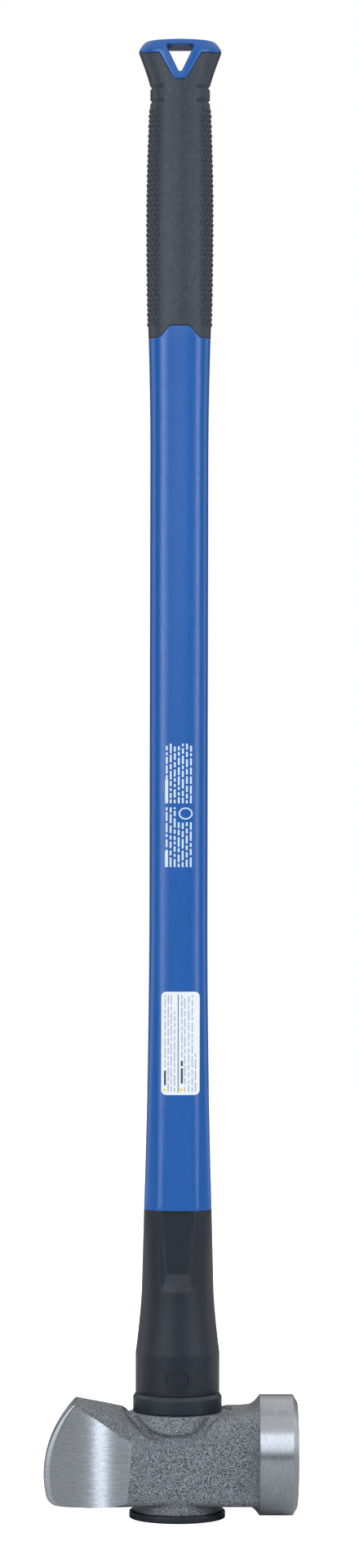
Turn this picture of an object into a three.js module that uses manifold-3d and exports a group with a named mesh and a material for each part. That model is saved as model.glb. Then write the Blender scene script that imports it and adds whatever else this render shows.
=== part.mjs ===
// A long-handled sledgehammer: a forged steel head with a round striking face and a straight
// peen, potted on a fibreglass core that runs through a moulded shaft to a rubber grip.
// Millimetres. X runs along the head towards the striking face, Z up the handle.
// The origin is on the handle's axis, at the underside of the cap that the tool stands on.
import * as THREE from "three";
import { mergeVertices } from "three/addons/utils/BufferGeometryUtils.js";
import { ConvexGeometry } from "three/addons/geometries/ConvexGeometry.js";
import Module from "manifold-3d";

const wasm = await Module();
wasm.setup();

// ---------- Driving dimensions ----------

const overallLength = 914.4; // standing height, the usual 36 inches
const seatGap = 0.1; // between flat faces that meet
const fitGap = 0.2; // all round between a tang, plug or spigot and its socket

const face = {
  diameter: 74.4, // ground striking face
  reach: 75.3, // handle axis to the middle of the face
  length: 20.7, // ground cylinder
  lip: 8, // how far the ground face stands out of the forging
  flare: 8.1, // forged neck that widens to the face
  clearance: 1.4, // under the face while the tool stands on its cap
  chamfer: { along: 2.8, across: 4.8 },
  crown: { rise: 0.9, flatRadius: 20 },
};

const peen = {
  reach: 83, // handle axis to the furthest point of the edge
  root: 29, // handle axis to where the ground cheeks start
  edgeRadius: 63, // of the edge, seen from the side
  edgeCentreDrop: 12, // of that arc's centre, below the face's axis
  cheekStep: 0.6, // the cheeks are ground this far into the forging
  cheekSlope: 0.12, // sideways taper at the root
  cheekCurve: 0.00614, // how fast the taper steepens, per millimetre
  noseRadius: 6, // the blunt edge
  noseSpread: 2, // taper from the edge's round to the cheeks
  heel: 5, // round at the edge's lower corner
  topRise: 0.185, // climb of the top towards the edge
  toeDrop: 0.035, // fall of the underside towards the edge
};

const shoulder = {
  proud: 0.4, // sloping shoulders beside the eye: this much further out than the cheeks
  lean: 37.4, // angle of the shoulder's normal from vertical, in degrees
  fadeToPeen: 0.21, // how fast the shoulders move out towards the peen
  fadeToFace: 0.26, // and towards the face
  roundness: 12, // power of the norm that rounds the forging's corners
};

const eye = {
  topX: 17.5, // half sizes of the mouth under the collar
  topY: 14,
  bottomX: 19.5, // and of the mouth at the cap: wider, so the potting locks the core
  bottomY: 15.5,
  socketDepth: 8, // straight part that takes the cap's spigot
};

const boss = {
  seatLedge: 2.1, // showing round the collar
  lipLedge: 3.9, // the same, at the lip that overhangs the cheeks
  lipDrop: 10.4, // of that lip, below the collar's seat
  lipUndercut: 4, // height over which it runs back into the cheeks
  seatDepth: 2, // of the seat, below the top of the forging
  lowerSetback: 1.75, // of the lower boss, inside the cap's rim
};

const core = { halfX: 13, halfY: 9.5, topCover: 46.4 }; // fibreglass; topCover is measured from the butt
const cap = { radius: 29.75, thickness: 4.3, edge: 0.7, spigot: 6 };
const collar = { radius: 27.5, height: 11.4, chamfer: 2.4, shrink: 1.4, flash: 0.5 };

const sleeve = {
  length: 113.6,
  setback: 1.5, // of its foot, inside the collar's rim
  baseHeight: 24.7, // straight part above the collar
  wallX: 2.8, // at its top, over the tang
  wallY: 5.8,
  flare: { height: 39.5, width: 2.75, power: 1.5 },
};

const pocket = {
  length: 49.2, // down from the sleeve's top
  floorLength: 38,
  topHalf: 11.9,
  bottomHalf: 10.9,
  floorTopHalf: 8.4,
  floorBottomHalf: 6.4,
  depth: 2.8,
};

const shaft = {
  coverX: 5, // over the core, at the slim middle
  coverY: 4.5,
  shoulder: 3.8, // over the tang, where the grip starts
  baseFlare: 190,
  shoulderFlare: 75,
  corner: 1.42, // where the octagon's slanting sides cross, as a share of the half sizes
  baseCrispness: 22, // power of the norm: higher makes sharper facets
  waistCrispness: 7,
};

const tang = {
  lowerWall: 5.2, // over the core, inside the collar and sleeve
  upperWall: 2.4, // inside the grip
  topCover: 30.4, // from its upper end to the butt
};

const tab = { rise: 7.3, topHalf: 6.1, bottomHalf: 12.15 }; // the shaft's tongue into the grip

const grip = {
  length: 184.9, // from its lower edge to the top of the butt
  wall: 2.7, // over the tang, at the neck
  swell: 2.1, // of the belly, over the neck
  step: 0.1, // its lower edge stands out over the shaft
  bellyHeight: 74, // above the grip's lower edge
  neckHeight: 146,
  groove: { width: 1.6, depth: 0.8, pitch: 8.6 },
  crispness: 4,
};

const butt = {
  flareX: 7.7, // over the grip's neck, where cap and grip meet
  flareY: 2,
  capHeight: 7.3,
  seamDip: 2.3, // the seam is this much lower at the front and back than at the sides
  drawX: 4.4, // the cap's draw-in to its top
  drawY: 2.6,
  crown: 0.9,
  stem: 16, // plug below the eyelet, into the shaft's bore
};

const eyelet = {
  topCover: 4.1, // cap left above the hole
  topHalf: 9, // the hanging hole is a triangle that stands on its point
  height: 16.8,
  apexHalf: 0.8,
  frame: { below: 4.6, footHalf: 3.6, toe: 1, slope: 0.58 }, // the V that lines the hole
  mouth: { depth: 3, rim: 0.9 }, // chamfer round the hole at both sides
};

const label = {
  halfWidth: 11.75,
  length: 63.5,
  corner: 3,
  thickness: 0.2,
  lift: 0.1, // clear of the shaft
  height: 71.3, // of its lower edge above the sleeve
  offset: 1.4, // sideways, as it was stuck on
};

const sides = { handle: 40, head: 60, round: 60 };

// ---------- Places worked out from them ----------

const grown = (size, x, y = x) => ({ halfX: size.halfX + x, halfY: size.halfY + y });
const lowerTang = grown(core, tang.lowerWall);
const upperTang = grown(core, tang.upperWall);
const shaftBase = grown(lowerTang, sleeve.wallX, sleeve.wallY);
const shaftWaist = grown(core, shaft.coverX, shaft.coverY);
const shaftEnd = grown(upperTang, shaft.shoulder);
const gripNeck = grown(upperTang, grip.wall);
const gripBelly = grown(gripNeck, grip.swell);
const buttRim = grown(gripNeck, butt.flareX, butt.flareY);
const buttTop = grown(buttRim, -butt.drawX, -butt.drawY);
const sleeveRadius = collar.radius - sleeve.setback;
const lipRadius = collar.radius + boss.lipLedge;
const faceRadius = face.diameter / 2;
const faceAxis = faceRadius + face.clearance;
const bodyHalf = faceRadius - face.lip;
const seatHeight = faceAxis + bodyHalf - boss.seatDepth;
const bossBottom = cap.thickness + seatGap;
const socketTop = bossBottom + eye.socketDepth;
const coreBottom = bossBottom + cap.spigot + seatGap;
const collarBottom = seatHeight + seatGap;
const collarTop = collarBottom + collar.height;
const sleeveBottom = collarTop + seatGap;
const sleeveTop = sleeveBottom + sleeve.length;
const shaftShoulder = sleeveTop + seatGap;
const gripBottom = overallLength - grip.length;
const shaftTop = gripBottom - seatGap;
const tangTop = overallLength - tang.topCover;
const coreTop = overallLength - core.topCover;
const capUnderside = overallLength - butt.capHeight;
const holeTop = overallLength - eyelet.topCover;
const holeApex = holeTop - eyelet.height;
const neckStart = face.reach - face.chamfer.along - face.crown.rise - face.length - face.flare;
const faceStart = neckStart + face.flare;

const past = 1; // how far a cutter or a joined stub runs past the face it meets
const beyond = 60; // half size of the plates and blocks that cut right across the handle

// ---------- Materials ----------

const forged = new THREE.MeshStandardMaterial({ color: 0x6b7075, roughness: 0.5, metalness: 0.9 });
const moulded = new THREE.MeshStandardMaterial({ color: 0x20262b, roughness: 0.5, metalness: 0 });
const blue = new THREE.MeshStandardMaterial({ color: 0x1a5aa8, roughness: 0.35, metalness: 0 });
const rubber = new THREE.MeshStandardMaterial({ color: 0x343b41, roughness: 0.6, metalness: 0 });
const fibreglass = new THREE.MeshStandardMaterial({ color: 0xc9b458, roughness: 0.5, metalness: 0 });
const resin = new THREE.MeshStandardMaterial({ color: 0x8a7a55, roughness: 0.4, metalness: 0 });
const vinyl = new THREE.MeshStandardMaterial({ color: 0xe9ecef, roughness: 0.4, metalness: 0 });

// ---------- Helpers ----------

// A closed geometry as a manifold solid.
function solid(geometry) {
  const bare = geometry.clone();
  bare.deleteAttribute("normal");
  bare.deleteAttribute("uv");
  const merged = mergeVertices(bare, 1e-4);
  return new wasm.Manifold(
    new wasm.Mesh({
      numProp: 3,
      vertProperties: merged.attributes.position.array,
      triVerts: new Uint32Array(merged.index.array),
    }),
  );
}

// A manifold solid as a named mesh.
function piece(name, body, material) {
  const { vertProperties, triVerts } = body.getMesh();
  const geometry = new THREE.BufferGeometry();
  geometry.setAttribute("position", new THREE.BufferAttribute(vertProperties, 3));
  geometry.setIndex(new THREE.BufferAttribute(triVerts, 1));
  geometry.computeVertexNormals();
  const mesh = new THREE.Mesh(geometry, material);
  mesh.name = name;
  return mesh;
}

// A closed body through outlines stacked up Z. Each section has a height z, and outline gives
// the distance from the axis in the direction of an angle.
function loft(sections, outline, around = sides.handle) {
  const rows = sections.length - 1;
  const geometry = new THREE.CylinderGeometry(1, 1, 1, around, rows);
  const at = geometry.attributes.position;
  for (let i = 0; i < at.count; i++) {
    const section = sections[Math.round((at.getY(i) + 0.5) * rows)];
    const onAxis = Math.hypot(at.getX(i), at.getZ(i)) < 0.5;
    const angle = Math.atan2(-at.getZ(i), at.getX(i));
    const reach = onAxis ? 0 : outline(section, angle);
    at.setXYZ(i, reach * Math.cos(angle), reach * Math.sin(angle), section.z);
  }
  return solid(geometry);
}

// A rounded octagon's edge: the slanting sides cross at "corner", and "crisp" sharpens the facets.
function octagon({ halfX, halfY, corner, crisp }, angle) {
  const across = Math.abs(Math.cos(angle)) / halfX;
  const deep = Math.abs(Math.sin(angle)) / halfY;
  const slanted = (across + deep) / corner;
  const full = (1 + corner ** -crisp) ** (1 / crisp);
  return full * (across ** crisp + deep ** crisp + slanted ** crisp) ** (-1 / crisp);
}

// An oval's edge, a little fuller than an ellipse.
function oval({ halfX, halfY }, angle) {
  const power = 2.4;
  const across = Math.abs(Math.cos(angle) / halfX) ** power;
  const deep = Math.abs(Math.sin(angle) / halfY) ** power;
  return (across + deep) ** (-1 / power);
}

// A true ellipse's edge.
function ellipse({ halfX, halfY }, angle) {
  return ((Math.cos(angle) / halfX) ** 2 + (Math.sin(angle) / halfY) ** 2) ** -0.5;
}

// A straight oval bar, grown all round by "grow".
function ovalBar({ halfX, halfY }, bottom, top, grow = 0) {
  const size = grown({ halfX, halfY }, grow);
  return loft([{ z: bottom, ...size }, { z: top, ...size }], oval);
}

// A turned body about Z, from a profile of [radius, height] points, bottom to top.
function turned(profile) {
  const points = profile.map(([radius, height]) => new THREE.Vector2(radius, height));
  const geometry = new THREE.LatheGeometry(points, sides.round);
  return solid(geometry.rotateX(Math.PI / 2));
}

// A straight-sided plate: the outline of [x, z] points, from y = -reach to y = +reach.
function plate(outline, reach) {
  const shape = new THREE.Shape(outline.map(([x, z]) => new THREE.Vector2(x, z)));
  const geometry = new THREE.ExtrudeGeometry(shape, { depth: 2 * reach, bevelEnabled: false });
  return solid(geometry.rotateX(Math.PI / 2).translate(0, reach, 0));
}

// A box between two corners.
function block(low, high) {
  const size = high.map((value, i) => value - low[i]);
  const middle = high.map((value, i) => (value + low[i]) / 2);
  return solid(new THREE.BoxGeometry(...size).translate(...middle));
}

function mix(a, b, share) {
  return a + (b - a) * share;
}

// ---------- Head ----------

// Distances from the face's axis to the forging's flats, at a place along the head.
function forgingFlats(x) {
  const towardsPeen = Math.max(0, -peen.root - x);
  const fade = towardsPeen * shoulder.fadeToPeen + Math.max(0, x) * shoulder.fadeToFace;
  return {
    top: bodyHalf + towardsPeen * peen.topRise,
    bottom: bodyHalf + towardsPeen * peen.toeDrop,
    shoulder: bodyHalf + shoulder.proud + fade,
  };
}

// The forging's outline across the head: flats rounded together by a norm.
function forgingOutline(x, sideways, up) {
  const flats = forgingFlats(x);
  const lean = THREE.MathUtils.degToRad(shoulder.lean);
  const sloping = Math.abs(sideways) * Math.sin(lean) + up * Math.cos(lean);
  const pushes = [
    Math.abs(sideways) / bodyHalf,
    up / flats.top,
    -up / flats.bottom,
    sloping / flats.shoulder,
  ];
  const sum = pushes.reduce((total, push) => total + Math.max(0, push) ** shoulder.roundness, 0);
  return sum ** (-1 / shoulder.roundness);
}

// The blank along X: the forging's own outline, a neck that widens to a circle, and the turned face.
function headBlank() {
  const chamferStart = faceStart + face.length;
  const chamferEnd = chamferStart + face.chamfer.along;
  const peenPlaces = [-past / peen.reach, 0.33, 0.67].map((share) => mix(-peen.reach, -peen.root, share));
  const bodyPlaces = [-peen.root, -peen.root / 2, 0, neckStart / 3, (neckStart * 2) / 3, neckStart];
  const forgedPlaces = [...peenPlaces, ...bodyPlaces];
  const neckSteps = [0.25, 0.5, 0.75];
  const sections = [
    ...forgedPlaces.map((x) => ({ z: x, round: 0 })),
    ...neckSteps.map((step) => ({ z: neckStart + face.flare * step, round: step ** 1.5 })),
    { z: faceStart, round: 1 },
    { z: chamferStart, round: 1 },
    { z: chamferEnd, round: 1, shrink: face.chamfer.across },
    { z: face.reach, round: 1, shrink: faceRadius - face.crown.flatRadius },
  ];
  const blank = loft(
    sections,
    ({ z: x, round, shrink = 0 }, angle) => {
      const reach = forgingOutline(Math.min(x, neckStart), Math.sin(angle), -Math.cos(angle));
      return mix(reach, faceRadius, round) - shrink;
    },
    sides.head,
  );
  return blank.rotate([0, 90, 0]).translate([0, 0, faceAxis]);
}

// The peen's edge, seen from the side: an arc with a rounded lower corner.
function edgePlace(height, low) {
  const centre = -peen.reach + peen.edgeRadius;
  const up = height - (faceAxis - peen.edgeCentreDrop);
  const arc = centre - Math.sqrt(peen.edgeRadius ** 2 - up ** 2);
  const heelDepth = Math.max(0, low + peen.heel - height);
  return arc + peen.heel - Math.sqrt(peen.heel ** 2 - Math.min(heelDepth, peen.heel) ** 2);
}

// Half the peen's thickness: the ground cheeks, rounded off at the edge.
function peenHalf(x, fromEdge) {
  const fromRoot = Math.max(0, -peen.root - x);
  const taper = peen.cheekSlope * fromRoot + peen.cheekCurve * fromRoot ** 2;
  const cheek = bodyHalf - peen.cheekStep - taper;
  const round = Math.min(fromEdge, peen.noseRadius);
  const nose = Math.sqrt(peen.noseRadius ** 2 - (peen.noseRadius - round) ** 2);
  const spread = Math.max(0, fromEdge - peen.noseRadius) * peen.noseSpread;
  return Math.max(0.4, Math.min(cheek, nose + spread));
}

// Everything that grinding leaves of the peen, as a box whose sides are bent to the cheeks and edge.
function peenEnvelope() {
  const reach = peen.reach - peen.root;
  const low = faceAxis - bodyHalf - reach * peen.toeDrop;
  const high = faceAxis + bodyHalf + reach * peen.topRise;
  const geometry = new THREE.BoxGeometry(1, 1, 1, 14, 1, 14);
  const at = geometry.attributes.position;
  for (let i = 0; i < at.count; i++) {
    const share = (at.getX(i) + 0.5) ** 1.6; // closer together at the edge
    const height = mix(low, high, (at.getZ(i) + 0.5) ** 1.5); // and at the heel
    const edge = edgePlace(height, low);
    const x = mix(edge, -peen.root, share);
    at.setXYZ(i, x, Math.sign(at.getY(i)) * peenHalf(x, x - edge), height);
  }
  return solid(geometry);
}

// Collars round the eye: the upper one carries the handle, the lower one the cap.
function eyeBosses() {
  const lip = seatHeight - boss.lipDrop;
  const inside = Math.min(bodyHalf, lipRadius) - past;
  const seatRadius = collar.radius + boss.seatLedge;
  return turned([
    [0, bossBottom],
    [cap.radius - boss.lowerSetback, bossBottom],
    [inside, faceAxis],
    [inside, lip - boss.lipUndercut],
    [lipRadius, lip],
    [mix(lipRadius, seatRadius, 0.35), mix(lip, seatHeight, 0.6)],
    [seatRadius, seatHeight],
    [0, seatHeight],
  ]);
}

function eyeSections(grow) {
  const wide = { halfX: eye.bottomX + grow, halfY: eye.bottomY + grow };
  const narrow = { halfX: eye.topX + grow, halfY: eye.topY + grow };
  return { wide, narrow };
}

function hammerHead() {
  const high = faceAxis + beyond;
  const bodySide = block([-peen.root, -beyond, -beyond], [face.reach + past, beyond, high]);
  const spotFace = turned([
    [0, seatHeight],
    [lipRadius, seatHeight],
    [lipRadius, high],
    [0, high],
  ]);
  const { wide, narrow } = eyeSections(0);
  const bore = loft(
    [
      { z: bossBottom - past, ...wide },
      { z: socketTop, ...wide },
      { z: seatHeight + past, ...narrow },
    ],
    oval,
  );
  return headBlank()
    .intersect(peenEnvelope().add(bodySide))
    .add(eyeBosses())
    .subtract(spotFace)
    .subtract(bore);
}

// ---------- Inside the eye ----------

function coreRod() {
  return ovalBar(core, coreBottom, coreTop);
}

function eyePotting() {
  const { wide, narrow } = eyeSections(-fitGap);
  const filling = loft(
    [
      { z: coreBottom, ...wide },
      { z: socketTop, ...wide },
      { z: seatHeight, ...narrow },
    ],
    oval,
  );
  return filling.subtract(ovalBar(core, coreBottom - past, seatHeight + past, fitGap));
}

function eyeCap() {
  const flange = turned([
    [0, 0],
    [cap.radius - cap.edge, 0],
    [cap.radius - 0.3 * cap.edge, 0.3 * cap.edge],
    [cap.radius, cap.edge],
    [cap.radius, cap.thickness - 0.4 * cap.edge],
    [cap.radius - 0.4 * cap.edge, cap.thickness],
    [0, cap.thickness],
  ]);
  const { wide } = eyeSections(-fitGap);
  return flange.add(ovalBar(wide, cap.thickness / 2, bossBottom + cap.spigot));
}

// ---------- Collar and sleeve ----------

function seatCollar() {
  const ring = turned([
    [0, collarBottom],
    [collar.radius - collar.flash, collarBottom],
    [collar.radius, collarBottom + collar.flash],
    [collar.radius, collarTop - collar.chamfer],
    [collar.radius - collar.shrink, collarTop],
    [0, collarTop],
  ]);
  return ring.subtract(ovalBar(lowerTang, collarBottom - past, collarTop + past, fitGap));
}

// The sleeve's half width above its straight foot: a draft to the shaft's size, and a flare below.
function sleeveHalf(height, top) {
  const foot = sleeveBottom + sleeve.baseHeight;
  const share = THREE.MathUtils.clamp((height - foot) / sleeve.flare.height, 0, 1);
  const drafted = mix(sleeveRadius - sleeve.flare.width, top, (height - foot) / (sleeveTop - foot));
  return drafted + sleeve.flare.width * (1 - share) ** sleeve.flare.power;
}

function sleeveOutside() {
  const foot = sleeveBottom + sleeve.baseHeight;
  const steps = [0, 0.08, 0.17, 0.28, 0.42, 0.7, 1];
  const upper = steps.map((step) => {
    const z = mix(foot, sleeveTop, step);
    return {
      z,
      halfX: sleeveHalf(z, shaftBase.halfX),
      halfY: sleeveHalf(z, shaftBase.halfY),
      corner: shaft.corner,
      crisp: mix(2, shaft.baseCrispness, step ** 3),
      round: 1 - step ** 1.5,
    };
  });
  const sections = [{ ...upper[0], z: sleeveBottom }, ...upper];
  return loft(sections, (section, angle) => {
    const circle = ellipse(section, angle);
    return mix(octagon(section, angle), circle, section.round);
  });
}

// The tapered window in the sleeve's front or back, open at the top.
function sleevePocket(side) {
  const open = shaftBase.halfY + sleeve.flare.width + past;
  const floor = shaftBase.halfY - pocket.depth;
  const spread = (open - floor) / pocket.depth;
  const top = sleeveTop + past;
  const corners = [
    [pocket.floorTopHalf, floor, top],
    [pocket.floorBottomHalf, floor, sleeveTop - pocket.floorLength],
    [mix(pocket.floorTopHalf, pocket.topHalf, spread), open, top],
    [
      mix(pocket.floorBottomHalf, pocket.bottomHalf, spread),
      open,
      sleeveTop - mix(pocket.floorLength, pocket.length, spread),
    ],
  ];
  const points = corners.flatMap(([x, y, z]) => [
    new THREE.Vector3(x, side * y, z),
    new THREE.Vector3(-x, side * y, z),
  ]);
  return solid(new ConvexGeometry(points));
}

function overstrikeSleeve() {
  return sleeveOutside()
    .subtract(ovalBar(lowerTang, sleeveBottom - past, sleeveTop + past, fitGap))
    .subtract(sleevePocket(1))
    .subtract(sleevePocket(-1));
}

// ---------- Shaft ----------

// The visible shaft's size at a height: slim in the middle, widening in a parabola to each end.
function shaftSection(height, grow = 0) {
  const towardsBase = Math.max(0, shaftShoulder + shaft.baseFlare - height) / shaft.baseFlare;
  const towardsGrip = Math.max(0, height - (shaftTop - shaft.shoulderFlare)) / shaft.shoulderFlare;
  const base = Math.min(1, towardsBase) ** 2;
  const end = Math.min(1, towardsGrip) ** 2;
  const sizeAt = (side) => mix(mix(shaftWaist[side], shaftBase[side], base), shaftEnd[side], end);
  return {
    z: height,
    halfX: sizeAt("halfX") + grow,
    halfY: sizeAt("halfY") + grow,
    corner: shaft.corner,
    crisp: mix(shaft.waistCrispness, shaft.baseCrispness, base),
  };
}

function shaftOutside(top, grow = 0) {
  const flareSteps = [0, 0.08, 0.18, 0.3, 0.45, 0.65, 1];
  const shoulderSteps = [0, 0.4, 0.65, 0.85, 1];
  const heights = [
    ...flareSteps.map((step) => shaftShoulder + shaft.baseFlare * step),
    ...shoulderSteps.map((step) => shaftTop - shaft.shoulderFlare * (1 - step)),
  ];
  const sections = heights.map((height) => shaftSection(height, grow));
  if (top > shaftTop) sections.push({ ...shaftSection(shaftTop, grow), z: top });
  return loft(sections, octagon);
}

// The outline of the shaft's tongue that rises into the grip, seen from the front.
function tongue(grow) {
  return [
    [-tab.bottomHalf - grow, shaftTop - past],
    [tab.bottomHalf + grow, shaftTop - past],
    [tab.bottomHalf + grow, shaftTop + grow],
    [tab.topHalf + grow, shaftTop + tab.rise + grow],
    [-tab.topHalf - grow, shaftTop + tab.rise + grow],
    [-tab.bottomHalf - grow, shaftTop + grow],
  ];
}

function shaftJacket() {
  const below = block([-beyond, -beyond, 0], [beyond, beyond, shaftTop]);
  const outside = shaftOutside(shaftTop + tab.rise);
  return outside
    .intersect(below.add(plate(tongue(0), beyond)))
    .add(ovalBar(lowerTang, collarBottom, shaftShoulder + past))
    .add(ovalBar(upperTang, shaftTop - past, tangTop))
    .subtract(ovalBar(core, collarBottom - past, tangTop + past, fitGap));
}

// ---------- Grip ----------

// The grip's sizes at heights above its lower edge: foot, belly, grooved neck, flared butt.
function gripSections() {
  const belly = gripBottom + grip.bellyHeight;
  const neck = gripBottom + grip.neckHeight;
  const swelling = (share, z) => ({ z, ...grown(gripNeck, grip.swell * share) });
  const stations = [
    { z: gripBottom, ...grown(shaftEnd, grip.step) },
    { z: mix(gripBottom, belly, 0.45), ...grown(gripBelly, -0.12 * grip.swell) },
    { z: belly, ...gripBelly },
    swelling(0.82, mix(belly, neck, 0.4)),
    swelling(0.48, mix(belly, neck, 0.75)),
  ];
  const { width, depth, pitch } = grip.groove;
  const grooved = [0, pitch].flatMap((up) => [
    { z: neck + up, ...grown(gripNeck, depth / 2, 0) },
    { z: neck + up + width / 2, ...grown(gripNeck, -depth / 2, 0) },
    { z: neck + up + width, ...grown(gripNeck, depth / 2, 0) },
  ]);
  const flare = { z: capUnderside, ...buttRim };
  return [...stations, ...grooved, flare].map((section) => ({
    ...section,
    corner: shaft.corner,
    crisp: grip.crispness,
  }));
}

// The V that lines the hanging hole, seen from the front.
function eyeletFrame(grow) {
  const { below, footHalf, toe, slope } = eyelet.frame;
  const foot = holeApex - below;
  const top = overallLength - butt.crown;
  const side = grow * Math.hypot(1, slope);
  const halfAt = (height) => footHalf + (height - foot) * slope + side;
  return [
    [-footHalf + toe, foot - grow],
    [footHalf - toe, foot - grow],
    [halfAt(foot + toe), foot + toe],
    [halfAt(top), top],
    [-halfAt(top), top],
    [-halfAt(foot + toe), foot + toe],
  ];
}

// Everything above the seam between grip and cap, which dips to the front and back.
function aboveSeam(drop) {
  const ridge = capUnderside - drop;
  const eaves = ridge - (butt.seamDip * beyond) / buttRim.halfY;
  const gable = [
    [0, ridge],
    [beyond, eaves],
    [beyond, overallLength + past],
    [-beyond, overallLength + past],
    [-beyond, eaves],
  ];
  return plate(gable, beyond).rotate([0, 0, 90]);
}

function gripSleeve() {
  return loft(gripSections(), octagon)
    .subtract(plate(tongue(fitGap), beyond))
    .subtract(ovalBar(upperTang, gripBottom - past, tangTop + seatGap, fitGap))
    .subtract(ovalBar(core, tangTop - past, holeApex, fitGap))
    .subtract(aboveSeam(seatGap))
    .subtract(plate(eyeletFrame(fitGap), beyond));
}

// ---------- Butt cap ----------

function capOutside() {
  const shoulderHeight = overallLength - butt.crown;
  const steps = [
    [0.35, 0.2],
    [0.75, 0.6],
    [1, 1],
  ];
  const upper = steps.map(([climb, draw]) => ({
    z: mix(capUnderside, shoulderHeight, climb),
    ...grown(buttRim, -butt.drawX * draw, -butt.drawY * draw),
  }));
  const crown = { z: overallLength, halfX: buttTop.halfX / 2, halfY: buttTop.halfY / 2 };
  const profile = { corner: shaft.corner, crisp: grip.crispness };
  const above = [...upper, crown].map((section) => ({ ...section, ...profile }));
  const below = gripSections().filter(({ z }) => z > gripBottom + grip.neckHeight);
  return loft([...below, ...above], octagon);
}

// The hanging hole: a triangle, point down, with chamfered mouths at the front and back.
function hangingHole() {
  const through = plate(
    [
      [-eyelet.apexHalf, holeApex],
      [eyelet.apexHalf, holeApex],
      [eyelet.topHalf, holeTop],
      [-eyelet.topHalf, holeTop],
    ],
    beyond,
  );
  return through.add(holeMouth(1)).add(holeMouth(-1));
}

function holeMouth(side) {
  const { depth, rim } = eyelet.mouth;
  const outer = buttRim.halfY + past;
  const inner = buttRim.halfY - depth;
  const triangle = (grow, y) =>
    [
      [eyelet.apexHalf + grow / 2, holeApex - grow],
      [eyelet.topHalf + grow, holeTop + grow],
    ].flatMap(([x, z]) => [new THREE.Vector3(x, side * y, z), new THREE.Vector3(-x, side * y, z)]);
  return solid(new ConvexGeometry([...triangle(0, inner), ...triangle(rim, outer)]));
}

function buttCap() {
  const foot = holeApex - eyelet.frame.below;
  const stemBottom = Math.max(coreTop + seatGap, foot - butt.stem);
  return capOutside()
    .intersect(aboveSeam(0).add(plate(eyeletFrame(0), beyond)))
    .add(ovalBar(core, stemBottom, foot + past))
    .subtract(hangingHole());
}

// ---------- Label ----------

// A thin sticker that follows the front of the shaft.
function careLabel() {
  const low = shaftShoulder + label.height;
  const high = low + label.length;
  const corner = new THREE.Shape();
  const { halfWidth: half, corner: round } = label;
  corner.moveTo(-half + round, low);
  corner.lineTo(half - round, low);
  corner.absarc(half - round, low + round, round, -Math.PI / 2, 0, false);
  corner.absarc(half - round, high - round, round, 0, Math.PI / 2, false);
  corner.absarc(-half + round, high - round, round, Math.PI / 2, Math.PI, false);
  corner.absarc(-half + round, low + round, round, Math.PI, 1.5 * Math.PI, false);
  const depth = 2 * shaftBase.halfY;
  const cutter = new THREE.ExtrudeGeometry(corner, { depth, bevelEnabled: false, curveSegments: 5 });
  const front = solid(cutter.rotateX(Math.PI / 2).translate(label.offset, 0, 0));
  const sheet = shaftOutside(shaftTop, label.lift + label.thickness).subtract(
    shaftOutside(shaftTop, label.lift),
  );
  return sheet.intersect(front);
}

// ---------- Assembly ----------

const sledgehammer = new THREE.Group();
sledgehammer.add(
  piece("hammer_head", hammerHead(), forged),
  piece("core_rod", coreRod(), fibreglass),
  piece("eye_potting", eyePotting(), resin),
  piece("eye_cap", eyeCap(), moulded),
  piece("seat_collar", seatCollar(), moulded),
  piece("overstrike_sleeve", overstrikeSleeve(), moulded),
  piece("shaft_jacket", shaftJacket(), blue),
  piece("grip_sleeve", gripSleeve(), rubber),
  piece("butt_cap", buttCap(), blue),
  piece("care_label", careLabel(), vinyl),
);

export default sledgehammer;
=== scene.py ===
# %% [markdown]
# # A long-handled sledgehammer
# A forged steel head is potted on a fibreglass core. The core runs through a blue moulded shaft to a
# rubber grip and a blue end cap with a triangular hole to hang it by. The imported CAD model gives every
# place and size. Each step below makes the fine surface of one real piece round that frame.

# %% The frame
import math
import random

import bmesh
import bpy
from mathutils import Matrix, Vector, noise


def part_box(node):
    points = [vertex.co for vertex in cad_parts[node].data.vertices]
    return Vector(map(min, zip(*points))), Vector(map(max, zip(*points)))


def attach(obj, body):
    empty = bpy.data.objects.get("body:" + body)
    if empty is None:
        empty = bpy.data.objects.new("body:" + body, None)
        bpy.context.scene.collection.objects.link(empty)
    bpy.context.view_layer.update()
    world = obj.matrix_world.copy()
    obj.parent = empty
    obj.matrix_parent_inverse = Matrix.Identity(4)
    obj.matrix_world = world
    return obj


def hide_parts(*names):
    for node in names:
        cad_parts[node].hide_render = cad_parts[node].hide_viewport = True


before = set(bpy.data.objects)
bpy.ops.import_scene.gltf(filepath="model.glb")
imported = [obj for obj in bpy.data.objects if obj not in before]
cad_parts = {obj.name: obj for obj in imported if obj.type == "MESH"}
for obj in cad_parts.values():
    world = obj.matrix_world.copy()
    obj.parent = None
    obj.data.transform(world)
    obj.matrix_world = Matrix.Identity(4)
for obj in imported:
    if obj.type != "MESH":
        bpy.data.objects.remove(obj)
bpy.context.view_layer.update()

MM = 0.001


def span(node):
    """A CAD node's lowest and highest corners, in millimetres."""
    low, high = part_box(node)
    return low / MM, high / MM


print("pieces in the frame:", len(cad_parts))

# %% [markdown]
# ## Camera
# The hammer stands upright and is seen straight from the front, a little under half its height, with a
# long lens, so its sides stay almost parallel. A lens over 100 mm from nearly 3 m away does that. The
# tiny roll is the kind that a camera set up by hand has.

# %% Camera
CAMERA_PLACE = (0.0005, -2.87, 0.454)
CAMERA_LENS = 106.35
CAMERA_ROLL = math.radians(-0.12)


def place_camera():
    """Adds the camera and makes it the scene's."""
    data = bpy.data.cameras.new("camera")
    data.lens = CAMERA_LENS
    data.sensor_width = 36
    camera = bpy.data.objects.new("camera", data)
    camera.location = CAMERA_PLACE
    camera.rotation_euler = (math.radians(90), CAMERA_ROLL, 0)
    bpy.context.scene.collection.objects.link(camera)
    bpy.context.scene.camera = camera
    return camera


print("camera at", tuple(place_camera().location))

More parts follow.
